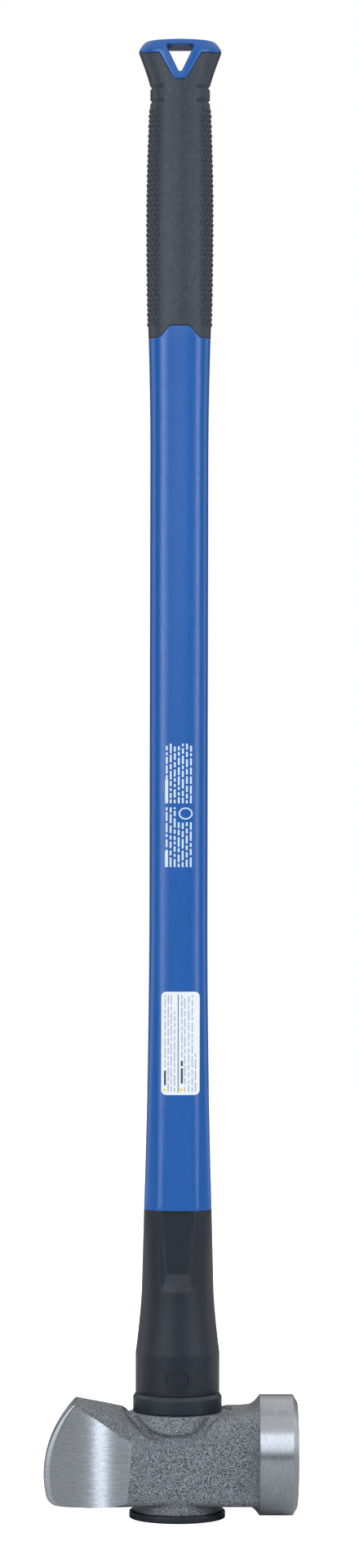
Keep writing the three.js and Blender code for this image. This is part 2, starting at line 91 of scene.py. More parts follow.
# %% [markdown]
# ## One function for nodes, one for colours
# Every material below is a few nodes. Adding a node, setting it and linking it is the same work each
# time, so one small function does it. Colours are written as the hex values that a designer reads off a
# swatch. Blender's sockets take linear light, so one function turns them.


# %% Nodes and colours
def add(tree, kind, inputs=(), **settings):
    """Adds a node. Each input is a plain value, or another node's output to link."""
    made = tree.nodes.new("ShaderNode" + kind)
    for name, value in settings.items():
        setattr(made, name, value)
    for name, value in dict(inputs).items():
        if isinstance(value, bpy.types.NodeSocket):
            tree.links.new(value, made.inputs[name])
        else:
            made.inputs[name].default_value = value
    return made


def linear(colour):
    """An sRGB hex colour as linear RGBA."""
    parts = [int(colour[i : i + 2], 16) / 255 for i in (1, 3, 5)]
    return [p / 12.92 if p <= 0.04045 else ((p + 0.055) / 1.055) ** 2.4 for p in parts] + [1.0]


def new_material(name):
    """An empty material, its node tree, and the place on the piece, in metres."""
    material = bpy.data.materials.new(name)
    material.use_nodes = True
    tree = material.node_tree
    tree.nodes.clear()
    return material, tree, add(tree, "TexCoord").outputs["Object"]


def stretched(tree, place, x, y, z):
    """The place scaled so that a pattern's grains come out x, y and z millimetres long."""
    scale = [1 / (MM * length) for length in (x, y, z)]
    return add(tree, "Mapping", {"Vector": place, "Scale": scale}).outputs["Vector"]


def blended(tree, low, high, share):
    """A colour between two hex colours, by a share from a pattern. Colours are sockets 6, 7 and 2."""
    inputs = {0: share, 6: linear(low), 7: linear(high)}
    return add(tree, "Mix", inputs, data_type="RGBA").outputs[2]


def spread(tree, value, low, high, to_low=0.0, to_high=1.0):
    """A pattern's values from low to high, spread over a new range."""
    inputs = {"Value": value, 1: low, 2: high, 3: to_low, 4: to_high}
    return add(tree, "MapRange", inputs).outputs["Result"]


def surface(tree, height, depth, **sockets):
    """The shader and its output: bumps of a depth in millimetres, and the sockets that are named."""
    bump = add(tree, "Bump", {"Height": height, "Distance": depth * MM, "Strength": 1.0})
    inputs = {name.replace("_", " "): value for name, value in sockets.items()}
    shader = add(tree, "BsdfPrincipled", {"Normal": bump.outputs["Normal"], **inputs})
    add(tree, "OutputMaterial", {"Surface": shader.outputs["BSDF"]})


print("white in linear light:", linear("#ffffff"))

# %% [markdown]
# ## Light and floor
# A tool like this is shown in a white tent between softboxes. Two tall strips at the front corners draw
# the long lights on the shaft, a box high in front lights the head, and side panels rim the edges. Low
# down and in front the room is dark, which gives steel its contrast. The hammer stands on a wide pale
# floor that the camera sees as white, like the room behind it.


# %% Objects
def placed(name, bm, materials=()):
    """A bmesh as an object in the scene, with its materials. The bmesh is freed."""
    mesh = bpy.data.meshes.new(name)
    bm.to_mesh(mesh)
    bm.free()
    for material in materials:
        mesh.materials.append(material)
    made = bpy.data.objects.new(name, mesh)
    bpy.context.scene.collection.objects.link(made)
    return made


# %% Softboxes
LIGHT_COLOUR = "#eef5ff"
HANDLE_MIDDLE = (0, 0, 0.5)
UPPER_MIDDLE = (0, 0, 0.86)
HEAD_MIDDLE = (0, 0, 0.04)


def softbox(name, azimuth, elevation, distance, size, brightness, target):
    """A rectangular light that faces a target. Azimuth 0 is in front and 90 on the right."""
    turn, rise = math.radians(azimuth), math.radians(elevation)
    away = Vector((math.sin(turn) * math.cos(rise), -math.cos(turn) * math.cos(rise), math.sin(rise)))
    data = bpy.data.lights.new(name, "AREA")
    data.shape = "RECTANGLE"
    data.size, data.size_y = size
    data.color = linear(LIGHT_COLOUR)[:3]
    data.energy = brightness * math.pi * size[0] * size[1]
    light = bpy.data.objects.new(name, data)
    light.location = Vector(target) + away * distance
    light.rotation_euler = away.to_track_quat("Z", "Y").to_euler()
    light.visible_camera = False
    bpy.context.scene.collection.objects.link(light)


softbox("left_strip", -40, 0, 1.7, (0.3, 1.25), 10.0, UPPER_MIDDLE)
softbox("right_strip", 52, 0, 1.7, (0.3, 1.25), 9.5, UPPER_MIDDLE)
softbox("front", 0, 30, 1.9, (0.9, 1.1), 1.7, HEAD_MIDDLE)
softbox("left_panel", -110, 2, 1.8, (1.0, 1.6), 1.3, HANDLE_MIDDLE)
softbox("right_panel", 114, 2, 1.8, (0.8, 1.6), 1.3, HANDLE_MIDDLE)

# %% Room
HORIZON = 0.03
CEILING = 0.95


def light_room():
    """White to the camera. The light that falls on the hammer fades from the ceiling to a dim horizon."""
    world = bpy.data.worlds.new("studio")
    bpy.context.scene.world = world
    world.use_nodes = True
    tree = world.node_tree
    tree.nodes.clear()
    direction = add(tree, "TexCoord").outputs["Generated"]
    upwards = add(tree, "SeparateXYZ", {"Vector": direction}).outputs["Z"]
    strength = spread(tree, upwards, 0.05, 0.7, HORIZON, CEILING)
    seen = add(tree, "LightPath").outputs["Is Camera Ray"]
    either = spread(tree, seen, 0.0, 1.0, strength, 1.0)
    background = add(tree, "Background", {"Color": linear("#ffffff"), "Strength": either})
    add(tree, "OutputWorld", {"Surface": background.outputs["Background"]})
    bpy.context.scene.view_settings.view_transform = "Standard"


light_room()

# %% Floor
FLOOR_RADIUS = 4.0


def pale_floor():
    """Pale matt card. It glows to the camera, so that it melts into the white room behind it."""
    material, tree, place = new_material("pale_matt_card")
    cloud = add(tree, "TexNoise", {"Vector": place, "Scale": 1.5, "Detail": 2.0}).outputs["Fac"]
    tone = blended(tree, "#bfc0c1", "#c6c7c8", cloud)
    grain = add(tree, "TexNoise", {"Vector": place, "Scale": 900.0}).outputs["Fac"]
    seen = add(tree, "LightPath").outputs["Is Camera Ray"]
    white = {"Emission_Color": linear("#ffffff"), "Emission_Strength": seen}
    surface(tree, grain, 0.01, Base_Color=tone, Roughness=0.6, **white)
    bm = bmesh.new()
    bmesh.ops.create_circle(bm, cap_ends=True, segments=96, radius=FLOOR_RADIUS)
    placed("floor", bm, [material])


pale_floor()

# %% [markdown]
# ## Steel, three ways
# The head is one forging with three skins. Most of it was shot-blasted after forging: the shot leaves
# dents about a millimetre across that scatter light into a grey sparkle. Here that sparkle is painted
# into the colour as light and dark specks, over the scale's own mottled grey and the dents' bumps. The
# peen's cheeks were ground on a belt, whose scratches run along the head. The striking face was turned,
# so its scratches run round it. Scratches spread a highlight across themselves, which the shader's
# anisotropy does.


# %% Forged steel
def blasted_steel():
    """Shot-blasted forging scale: mottled grey, with the dents' sparkle painted into the colour as light
    specks. Its 1 mm dents are drawn at 2.1 mm, to show.
    """
    material, tree, place = new_material("blasted_forged_steel")
    dents = add(tree, "TexNoise", {"Vector": stretched(tree, place, 2.1, 2.1, 2.1), "Detail": 2.0})
    patches = add(tree, "TexNoise", {"Vector": stretched(tree, place, 14, 14, 14), "Detail": 3.0})
    # Painted sparkle: the light specks stand in for glints off the dents, over a mottled grey of the scale.
    mottle_and_painted_glints = spread(tree, dents.outputs["Fac"], 0.42, 0.6)
    tone = blended(tree, "#3b3f43", "#bcc0c4", mottle_and_painted_glints)
    rough = spread(tree, patches.outputs["Fac"], 0.3, 0.7, 0.38, 0.48)
    surface(tree, dents.outputs["Fac"], 0.8, Base_Color=tone, Metallic=1.0, Roughness=rough)
    return material


def brushed_steel(name, grain, wave, axis, low, high, rough):
    """Belt-ground or turned steel: scratches and waves, by their length in mm along x, y and z."""
    material, tree, place = new_material(name)
    scratches = add(tree, "TexNoise", {"Vector": stretched(tree, place, *grain), "Detail": 2.0})
    waves = add(tree, "TexNoise", {"Vector": stretched(tree, place, *wave), "Detail": 2.0})
    shade = spread(tree, scratches.outputs["Fac"], 0.3, 0.7)
    tone = blended(tree, low, high, shade)
    roughness = spread(tree, waves.outputs["Fac"], 0.3, 0.7, rough, rough + 0.05)
    tangent = add(tree, "Tangent", direction_type="RADIAL", axis=axis).outputs["Tangent"]
    surface(
        tree,
        scratches.outputs["Fac"],
        0.006,
        Base_Color=tone,
        Metallic=1.0,
        Roughness=roughness,
        Anisotropic=0.93,
        Anisotropic_Rotation=0.25,
        Tangent=tangent,
    )
    return material


# Real scratches are finer than 0.1 mm, so these are drawn 0.8 mm wide to show.
forged = blasted_steel()
ground = brushed_steel("belt_ground_steel", (30, 30, 0.8), (9, 9, 3), "Z", "#999ca0", "#c2c6ca", 0.24)
turned = brushed_steel("turned_steel", (0.8, 25, 25), (2, 9, 9), "X", "#999ca0", "#c2c6ca", 0.36)
STEEL = [forged, ground, turned]
print("steel finishes:", [material.name for material in STEEL])

# %% [markdown]
# ## Plastics and rubber
# The black parts are glass-filled nylon, moulded with a fine spark-eroded grain that keeps them satin.
# The blue shaft and cap are polypropylene from a smoother mould. The grip is soft rubber moulded over
# the shaft: it is matt, picks up dust, and is rubbed lighter where hands and shelves touch it.


# %% Black nylon
def black_nylon(name, streaks, low, high):
    """Glass-filled nylon, spark-eroded grain, drawn at 0.9 mm. "streaks" are its rub marks' lengths."""
    material, tree, place = new_material(name)
    grain = add(tree, "TexNoise", {"Vector": stretched(tree, place, 0.9, 0.9, 0.9), "Detail": 2.0})
    marks = add(tree, "TexNoise", {"Vector": stretched(tree, place, *streaks), "Detail": 3.0})
    tone = blended(tree, low, high, spread(tree, marks.outputs["Fac"], 0.3, 0.7))
    rough = spread(tree, marks.outputs["Fac"], 0.3, 0.7, 0.3, 0.38)
    surface(tree, grain.outputs["Fac"], 0.09, Base_Color=tone, Roughness=rough, IOR=1.46)
    return material


nylon = black_nylon("black_nylon_moulded", (14, 14, 30), "#0c131d", "#121b27")
rubbed_nylon = black_nylon("black_nylon_rubbed", (1.3, 1.3, 30), "#0a1018", "#1c2530")


# %% Blue polypropylene
def blue_polypropylene():
    """Satin-gloss moulded polypropylene: clean blue, with the faint orange peel of the mould."""
    material, tree, place = new_material("blue_polypropylene_moulded")
    peel = add(tree, "TexNoise", {"Vector": stretched(tree, place, 1.2, 1.2, 1.8), "Detail": 3.0})
    flow = add(tree, "TexNoise", {"Vector": stretched(tree, place, 9, 9, 90), "Detail": 2.0})
    tone = blended(tree, "#11529a", "#1a5ca6", flow.outputs["Fac"])
    rough = spread(tree, peel.outputs["Fac"], 0.3, 0.7, 0.22, 0.3)
    surface(tree, peel.outputs["Fac"], 0.05, Base_Color=tone, Roughness=rough, IOR=1.5)
    return material


blue = blue_polypropylene()


# %% Grip rubber
def grip_rubber():
    """Thermoplastic rubber: matt grey-black with dusty patches and scuffs some 10 mm long."""
    material, tree, place = new_material("grip_rubber_moulded")
    skin = add(tree, "TexNoise", {"Vector": stretched(tree, place, 0.7, 0.7, 0.7), "Detail": 3.0})
    patches = {"Vector": stretched(tree, place, 5, 5, 12), "Detail": 6.0, "Roughness": 0.7}
    dust = add(tree, "TexNoise", patches)
    tone = blended(tree, "#1a2027", "#39424b", spread(tree, dust.outputs["Fac"], 0.36, 0.74))
    rough = spread(tree, dust.outputs["Fac"], 0.3, 0.7, 0.32, 0.42)
    surface(tree, skin.outputs["Fac"], 0.08, Base_Color=tone, Roughness=rough, IOR=1.5)
    return material


rubber = grip_rubber()


# %% Vinyl and inks
def printed(name, low, high, roughness):
    """A thin even film, such as label vinyl or ink, with a faint unevenness of about 2 mm."""
    material, tree, place = new_material(name)
    cloud = add(tree, "TexNoise", {"Vector": stretched(tree, place, 2, 2, 2), "Detail": 3.0})
    tone = blended(tree, low, high, cloud.outputs["Fac"])
    surface(tree, cloud.outputs["Fac"], 0.01, Base_Color=tone, Roughness=roughness, IOR=1.5)
    return material


vinyl = printed("white_label_vinyl", "#dfe4ea", "#eef1f5", 0.38)
white_ink = printed("white_pad_print", "#c3d3ea", "#d8e4f3", 0.4)
grey_ink = printed("grey_label_ink", "#9fa5ac", "#bcc1c7", 0.5)
dark_ink = printed("dark_label_ink", "#33383d", "#4b5157", 0.5)
yellow_ink = printed("yellow_label_ink", "#e8c21a", "#f2d03a", 0.45)


# %% Fibreglass and resin
def cast_material(name, fibres, low, high, roughness):
    """Pultruded fibreglass or cast resin: streaks or clouds "fibres" mm long."""
    material, tree, place = new_material(name)
    strands = add(tree, "TexNoise", {"Vector": stretched(tree, place, *fibres), "Detail": 4.0})
    tone = blended(tree, low, high, strands.outputs["Fac"])
    surface(tree, strands.outputs["Fac"], 0.05, Base_Color=tone, Roughness=roughness, IOR=1.55)
    return material


def dress(node, material):
    """Gives a CAD node that stays in the model its finish."""
    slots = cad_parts[node].data.materials
    slots.clear()
    slots.append(material)


dress("core_rod", cast_material("pultruded_fibreglass", (0.6, 0.6, 60), "#b09a3e", "#d9c873", 0.45))
dress("eye_potting", cast_material("cast_epoxy", (5, 5, 5), "#7a6a45", "#958458", 0.35))

# %% [markdown]
# ## Shaping helpers
# Most pieces here are tubes whose outline changes along their length. A flat grid has a row for each
# ring and a column for each angle, so rolling it up and bending each row to its ring gives clean,
# even faces. Joining and cutting closed shapes is left to the Boolean modifier.


# %% Numbers
def mix(a, b, share):
    """The value at a share of the way from a to b."""
    return a + (b - a) * share


def clamp(value):
    """The value, kept from 0 to 1."""
    return max(0.0, min(1.0, value))


def ease(value, low, high):
    """0 below low, 1 above high, and a smooth step between them."""
    share = clamp((value - low) / (high - low))
    return share * share * (3 - 2 * share)


def soft_max(a, b, blend):
    """The larger value, with a fillet where the two are closer than the blend."""
    near = max(0.0, blend - abs(a - b))
    return max(a, b) + near * near / (4 * blend)


def soft_min(a, b, blend):
    """The smaller value, with the same fillet."""
    return -soft_max(-a, -b, blend)


# %% Tubes
def wrap(rings, around):
    """A grid rolled into a tube, with a row for each ring. A ring gives the point at an angle."""
    bm = bmesh.new()
    rows = len(rings) - 1
    bmesh.ops.create_grid(bm, x_segments=around, y_segments=rows, size=0.5)
    for vert in bm.verts:
        ring = rings[round((vert.co.y + 0.5) * rows)]
        vert.co = ring((vert.co.x + 0.5) * math.tau)
    bmesh.ops.remove_doubles(bm, verts=bm.verts, dist=1e-4)
    bmesh.ops.recalc_face_normals(bm, faces=bm.faces)
    return bm


def on_handle(height, reach):
    """A level ring round the handle's axis, from a function that gives the reach at an angle."""

    def ring(angle):
        out = reach(angle)
        return Vector((out * math.cos(angle), out * math.sin(angle), height))

    return ring


def closed_tube(rings, low, high, around):
    """A tube round the handle whose ends close at the axis, at heights low and high."""
    ends = [on_handle(height, lambda angle: 0.0) for height in (low, high)]
    return wrap([ends[0], *rings, ends[1]], around)


def turned_about_handle(profile, around):
    """A turned piece: a closed line of (radius, height) points spun round the handle's axis."""
    bm = bmesh.new()
    verts = [bm.verts.new((radius, 0, height)) for radius, height in profile]
    edges = [bm.edges.new(pair) for pair in zip(verts, verts[1:] + verts[:1])]
    bmesh.ops.spin(
        bm,
        geom=verts + edges,
        axis=(0, 0, 1),
        cent=(0, 0, 0),
        angle=math.tau,
        steps=around,
        use_merge=True,
    )
    bmesh.ops.remove_doubles(bm, verts=bm.verts, dist=1e-4)
    bmesh.ops.recalc_face_normals(bm, faces=bm.faces)
    return bm


# %% Slabs
def slab(outline, reach, corner=0.0, segments=6):
    """A straight-sided slab: an outline in x and z, from y = -reach to reach, its corners rounded."""
    bm = bmesh.new()
    bm.faces.new([bm.verts.new((x, -reach, z)) for x, z in outline])
    if corner:
        bmesh.ops.bevel(
            bm,
            geom=bm.verts[:],
            offset=corner,
            segments=segments,
            profile=0.5,
            affect="VERTICES",
            material=-1,
        )
    made = bmesh.ops.extrude_face_region(bm, geom=bm.faces[:])["geom"]
    far_side = [item for item in made if isinstance(item, bmesh.types.BMVert)]
    bmesh.ops.translate(bm, verts=far_side, vec=(0, 2 * reach, 0))
    bmesh.ops.recalc_face_normals(bm, faces=bm.faces)
    return bm


# %% Joining, cutting and remeshing
def applied(item):
    """A bmesh of a temporary object with its modifiers applied. The object is removed."""
    bm = bmesh.new()
    bm.from_object(item, bpy.context.evaluated_depsgraph_get())
    bpy.data.objects.remove(item)
    return bm


def combine(operation, body, tool, materials=()):
    """Joins, cuts or intersects two closed bmeshes. Faces keep the finish of where they come from."""
    blank = placed("blank", body, materials)
    cutter = placed("cutter", tool, materials)
    boolean = blank.modifiers.new("boolean", "BOOLEAN")
    boolean.operation = operation
    boolean.solver = "MANIFOLD"
    boolean.object = cutter
    made = applied(blank)
    bpy.data.objects.remove(cutter)
    return made


def remeshed(bm, voxel, smoothing):
    """The same shape in even small faces, smoothed, so its inside and outside corners get fillets."""
    blank = placed("blank", bm)
    remesh = blank.modifiers.new("remesh", "REMESH")
    remesh.mode = "VOXEL"
    remesh.voxel_size = voxel
    smooth = blank.modifiers.new("smooth", "SMOOTH")
    smooth.factor = 0.5
    smooth.iterations = smoothing
    return applied(blank)


# %% Pieces
def make_piece(name, bm, materials, stands_for=(), sharp=35):
    """A bmesh in millimetres as a piece of the hammer, smooth except at edges sharper than "sharp"."""
    bm.transform(Matrix.Scale(MM, 4))
    piece = placed(name, bm, materials)
    piece.data.shade_smooth()
    piece.data.set_sharp_from_angle(angle=math.radians(sharp))
    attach(piece, "root")
    if stands_for:
        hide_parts(*stands_for)
    print(name, "faces:", len(piece.data.polygons))
    return piece


# %% [markdown]
# ## The head's places
# The face's axis, the forging's half size and the eye's seat all come from the CAD boxes. What the
# boxes can't tell, such as how the shoulders slope, is named here.

# %% Head sizes
SEAT_GAP = 0.1
head_low, head_high = span("hammer_head")
collar_low, collar_high = span("seat_collar")
cap_low, cap_high = span("eye_cap")
face_radius = head_high.y
face_axis = head_low.z + face_radius
face_reach = head_high.x
peen_reach = -head_low.x
FACE_LIP = 8
body_half = face_radius - FACE_LIP
seat_height = collar_low.z - SEAT_GAP
collar_radius = collar_high.x

PEEN_ROOT = 29
FACE_LENGTH = 20.7
FACE_CHAMFER = (2.8, 4.8)
FACE_CROWN = 0.9
FACE_FLAT = 20
NECK_LENGTH = 8.1
face_start = face_reach - FACE_CROWN - FACE_CHAMFER[0] - FACE_LENGTH
neck_start = face_start - NECK_LENGTH
print("head from", round(-peen_reach, 1), "to", round(face_reach, 1), "mm, face across", 2 * face_radius)

# %% [markdown]
# ## The forging
# A red-hot blank was pressed between two dies. That leaves flats at the front, top and bottom, sloping
# shoulders beside the eye, and big soft radii. The outline across the head is a set of flats rounded
# together by a power norm. A ring for each place along the head carries it from the peen to the round
# neck, and everything that is ground later is left oversize.

# %% The forging's outline
SHOULDER_LEAN = math.radians(37.4)
SHOULDER_PROUD = 0.4
FORGING_ROUNDNESS = 12


def forging_reach(x, sideways, up):
    """How far the forging reaches from the face's axis in a direction across the head."""
    to_peen = max(0.0, -PEEN_ROOT - x)
    fade = to_peen * 0.21 + max(0.0, x) * 0.26
    sloping = abs(sideways) * math.sin(SHOULDER_LEAN) + up * math.cos(SHOULDER_LEAN)
    pushes = (
        abs(sideways) / body_half,
        up / (body_half + to_peen * 0.185),
        -up / (body_half + to_peen * 0.035),
        sloping / (body_half + SHOULDER_PROUD + fade),
    )
    total = sum(max(0.0, push) ** FORGING_ROUNDNESS for push in pushes)
    return total ** (-1 / FORGING_ROUNDNESS)


def head_ring(x, round_share=0.0, radius=face_radius):
    """A ring across the head: the forging's outline, turning into a circle towards the face."""

    def ring(angle):
        sideways, up = math.sin(angle), math.cos(angle)
        reach = mix(forging_reach(min(x, neck_start), sideways, up), radius, round_share)
        return Vector((x, reach * sideways, face_axis + reach * up))

    return ring


def head_point(x):
    """The middle of a ring across the head, which closes its end."""
    return lambda angle: Vector((x, 0, face_axis))


# %% Blank
OVERSIZE = 1.2


def head_blank():
    """The forging before the eye is made, with stock left on the face and the peen's edge."""
    peen_end = -peen_reach - OVERSIZE
    face_end = face_reach + OVERSIZE
    steps = [0.2, 0.4, 0.6, 0.8, 0.95]
    rings = [head_point(peen_end)]
    rings += [head_ring(mix(peen_end, -PEEN_ROOT, share)) for share in (0, 0.33, 0.67, 1)]
    rings += [head_ring(mix(-PEEN_ROOT, neck_start, share)) for share in (0.25, 0.45, 0.7, 0.85, 1)]
    rings += [head_ring(neck_start + NECK_LENGTH * step, step**1.4) for step in steps]
    rings += [head_ring(x, 1.0, face_radius + OVERSIZE) for x in (face_start + 0.4, face_end)]
    rings += [head_point(face_end)]
    return wrap(rings, 180)


LIP_LEDGE = 3.9


def boss_profile():
    """The raised rings round the eye: the upper one carries the handle, the lower one the cap."""
    lip_radius = collar_radius + LIP_LEDGE
    lip = seat_height - 10.4
    inside = body_half - 1
    bottom = head_low.z + 3.0
    return [
        (0, bottom),
        (cap_high.x - 1.75, bottom),
        (inside, face_axis),
        (inside, lip - 4),
        (lip_radius - 0.3, lip - 0.4),
        (lip_radius, lip),
        (lip_radius - 0.1, lip + 2.5),
        (collar_radius + 3.2, lip + 6.2),
        (collar_radius + 2.3, seat_height - 0.6),
        (collar_radius + 1.6, seat_height),
        (0, seat_height),
    ]


def spot_face():
    """The flat that is pressed into the forging's top for the collar."""
    radius = collar_radius + LIP_LEDGE
    top = face_axis + 60
    profile = [(0, seat_height), (radius, seat_height), (radius + 1, top), (0, top)]
    return turned_about_handle(profile, 120)


head = combine("UNION", head_blank(), turned_about_handle(boss_profile(), 120))
head = combine("DIFFERENCE", head, spot_face())
print("raw forging:", len(head.verts), "points")

# %% [markdown]
# ## Forged skin
# A drop forging has no sharp corner anywhere, and its flats are never quite flat. Remeshing the joined
# blank into even 0.75 mm faces and smoothing it makes every fillet at once, as the flow of hot steel
# does. A slow noise then moves the skin by about a tenth of a millimetre, and two low ridges are added
# where the dies left them on both sides.

# %% Forged skin
VOXEL = 0.75
HEAD_SMOOTHING = 4
RIDGE_PLACES = (-22.9, -19.9)
RIDGE_HEIGHT = 0.3
RIDGE_WIDTH = 0.7
CREASE_DEPTH = 2.6
CREASE_WIDTH = 1.9


def ridge(place):
    """How far the die marks stand out at a place on the head's side."""
    between = ease(place.z, 16, 22) * (1 - ease(place.z, 52, 56))
    bumps = sum(math.exp(-(((place.x - x) / RIDGE_WIDTH) ** 2)) for x in RIDGE_PLACES)
    return RIDGE_HEIGHT * bumps * between


def crease(place):
    """How deep the fold is, where the ring round the eye meets the forging."""
    across = Vector((place.y, place.z - face_axis))
    reach = across.length
    if reach < 1:
        return 0.0
    from_forging = reach - forging_reach(place.x, across.x / reach, across.y / reach)
    from_boss = math.hypot(place.x, place.y) - (collar_radius + LIP_LEDGE)
    fold = math.exp(-(from_forging**2 + from_boss**2) / CREASE_WIDTH**2)
    return CREASE_DEPTH * fold * ease(place.z, seat_height - 15, seat_height - 12)


def forged_skin(bm):
    """Moves the skin in and out a little, as forging does."""
    bm.normal_update()
    for vert in bm.verts:
        slow = noise.noise(vert.co / 11) * 0.16 + noise.noise(vert.co / 4) * 0.07
        side = clamp(abs(vert.normal.y) * 3 - 2)
        vert.co += vert.normal * (slow + side * ridge(vert.co) - crease(vert.co))


head = remeshed(head, VOXEL, HEAD_SMOOTHING)
forged_skin(head)
print("forged skin:", len(head.verts), "points")

# %% [markdown]
# ## Grinding the peen
# The cheeks are ground hollow-free on a wide belt, and the edge is left as a blunt nose that follows an
# arc. Grinding takes away whatever stands outside a wanted shape, so the wanted shape is built as a
# closed solid with clean rows, and the forging is intersected with it. The faces that come from this
# solid carry the ground finish.

# %% Peen
EDGE_RADIUS = 63
EDGE_CENTRE_DROP = 12
HEEL = 5
CHEEK_STEP = 0.6
NOSE_RADIUS = 5.5
TIP_RADIUS = 1.5
TIP_FADE = 22
ROOT_TOP = (-27.5, 54)
ROOT_BOTTOM = (-31, 9)


def root_place(height):
    """Where the grinding stops: a line that leans a little."""
    share = (height - ROOT_BOTTOM[1]) / (ROOT_TOP[1] - ROOT_BOTTOM[1])
    return mix(ROOT_BOTTOM[0], ROOT_TOP[0], share)


def edge_place(height, low):
    """The edge, seen from the side: an arc with a rounded lower corner."""
    up = height - (face_axis - EDGE_CENTRE_DROP)
    arc = -peen_reach + EDGE_RADIUS - math.sqrt(EDGE_RADIUS**2 - up**2)
    heel = min(HEEL, max(0.0, low + HEEL - height))
    return arc + HEEL - math.sqrt(HEEL**2 - heel**2)


def peen_half(x, from_edge, radius):
    """Half the peen's thickness: ground cheeks, rounded off at the rims of the edge."""
    from_root = max(0.0, -PEEN_ROOT - x)
    cheek = body_half - CHEEK_STEP - 0.12 * from_root - 0.00614 * from_root**2
    inner = radius - min(from_edge, radius)
    return max(0.4, cheek - radius + math.sqrt(radius**2 - inner**2))


def peen_ring(height, low, high):
    """A level ring: across the edge, back along both cheeks, and across inside the body."""
    radius = mix(TIP_RADIUS, NOSE_RADIUS, clamp((high - height) / TIP_FADE))
    edge = edge_place(height, low)
    inner = root_place(height) + 2

    def ring(angle):
        turn = angle / math.pi - 1
        along = clamp((abs(turn) - 0.06) / 0.86)
        across = min(1.0, abs(turn) / 0.06, (1 - abs(turn)) / 0.08)
        x = mix(edge, inner, along**1.8)
        return Vector((x, math.copysign(across, turn) * peen_half(x, x - edge, radius), height))

    return ring


def ground_peen():
    """Everything that grinding leaves of the peen."""
    low = face_axis - body_half - (peen_reach - PEEN_ROOT) * 0.035
    high = face_axis + body_half + (peen_reach - PEEN_ROOT) * 0.185
    steps = 70
    heights = [mix(low, high, (i / steps) ** 1.3) for i in range(steps + 1)]
    rings = [peen_ring(height, low, high) for height in heights]
    ends = [lambda angle, z=z: Vector((-peen_reach + 30, 0, z)) for z in (low, high)]
    return wrap([ends[0], *rings, ends[1]], 240)


def body_block():
    """The part of the head that isn't ground at its sides, behind the leaning line."""
    bm = bmesh.new()
    bmesh.ops.create_cube(bm, size=240)
    for vert in bm.verts:
        if vert.co.x < 0:
            vert.co.x = root_place(vert.co.z)
    return bm


def finished_by(bm, index):
    """The bmesh, with all its faces in one finish."""
    for face in bm.faces:
        face.material_index = index
    return bm


kept = combine("UNION", finished_by(ground_peen(), 1), finished_by(body_block(), 1), STEEL)
head = combine("INTERSECT", finished_by(head, 0), kept, STEEL)
print("with a ground peen:", len(head.verts), "points")

# %% [markdown]
# ## Turning the face
# The round face was chucked and turned: a cylinder, a chamfer, a shallow crown and a flat middle. The
# same way as for the peen, a turned solid is intersected with the forging. Its edges get a small bevel
# first, because a broken edge is what catches the light.

# %% Face
EDGE_BREAK = 0.35


def face_solid():
    """The turned face, and a wide empty cylinder round the rest of the head."""
    wide = 120
    chamfer_start = face_start + FACE_LENGTH
    chamfer_end = chamfer_start + FACE_CHAMFER[0]
    rim = face_radius - FACE_CHAMFER[1]
    profile = [(-wide, 0), (-wide, wide), (face_start, wide), (face_start, face_radius)]
    profile += [(chamfer_start, face_radius), (chamfer_end, rim)]
    for share in (0.3, 0.6, 0.85):
        profile.append((chamfer_end + FACE_CROWN * share, mix(rim, FACE_FLAT, share**1.7)))
    profile += [(face_reach, FACE_FLAT), (face_reach, 0)]
    bm = wrap([head_circle(x, radius) for x, radius in profile], 240)
    broken = [edge for edge in bm.edges if edge_turns_at(edge, (chamfer_start, chamfer_end))]
    bmesh.ops.bevel(
        bm,
        geom=broken,
        offset=EDGE_BREAK,
        segments=3,
        profile=0.5,
        affect="EDGES",
        material=-1,
    )
    return bm


def head_circle(x, radius):
    """A circle across the head, round the face's axis."""
    return lambda angle: Vector((x, radius * math.sin(angle), face_axis + radius * math.cos(angle)))


def edge_turns_at(edge, places):
    """True for an edge of one of the circles at those places."""
    ends = [vert.co.x for vert in edge.verts]
    return any(all(abs(x - place) < 1e-3 for x in ends) for place in places)


head = combine("INTERSECT", head, finished_by(face_solid(), 2), STEEL)
print("with a turned face:", len(head.verts), "points")

# %% [markdown]
# ## The eye
# The eye is an oval hole that widens downwards, so the potted core can't pull out. It is hidden when
# the hammer is whole, but it is part of the forging.

# %% Eye
EYE_TOP = Vector((17.5, 14))
EYE_BOTTOM = Vector((19.5, 15.5))
EYE_SOCKET = 8


def oval(half, angle):
    """An oval's reach at an angle, a little fuller than an ellipse."""
    power = 2.4
    across = abs(math.cos(angle) / half.x) ** power
    deep = abs(math.sin(angle) / half.y) ** power
    return (across + deep) ** (-1 / power)


def oval_ring(height, half):
    """A level oval ring."""
    return on_handle(height, lambda angle: oval(half, angle))


def eye_bore():
    """The solid that the eye's hole takes away."""
    bottom = head_low.z + 3.0
    low, high = bottom - 1, seat_height + 1
    wide = [oval_ring(low, EYE_BOTTOM), oval_ring(bottom + EYE_SOCKET, EYE_BOTTOM)]
    return closed_tube([*wide, oval_ring(high, EYE_TOP)], low, high, 96)


head = combine("DIFFERENCE", head, finished_by(eye_bore(), 0), STEEL)
make_piece("head_forging", head, STEEL, ["hammer_head"], sharp=28)

# %% [markdown]
# ## Eye cap
# A moulded disc closes the eye from below. It has a crisp lower edge and a small radius above, and its
# spigot is pressed into the eye. Spinning a profile is how such a part is drawn.

# %% Eye cap
CAP_THICKNESS = 4.3
CAP_EDGE = 0.7


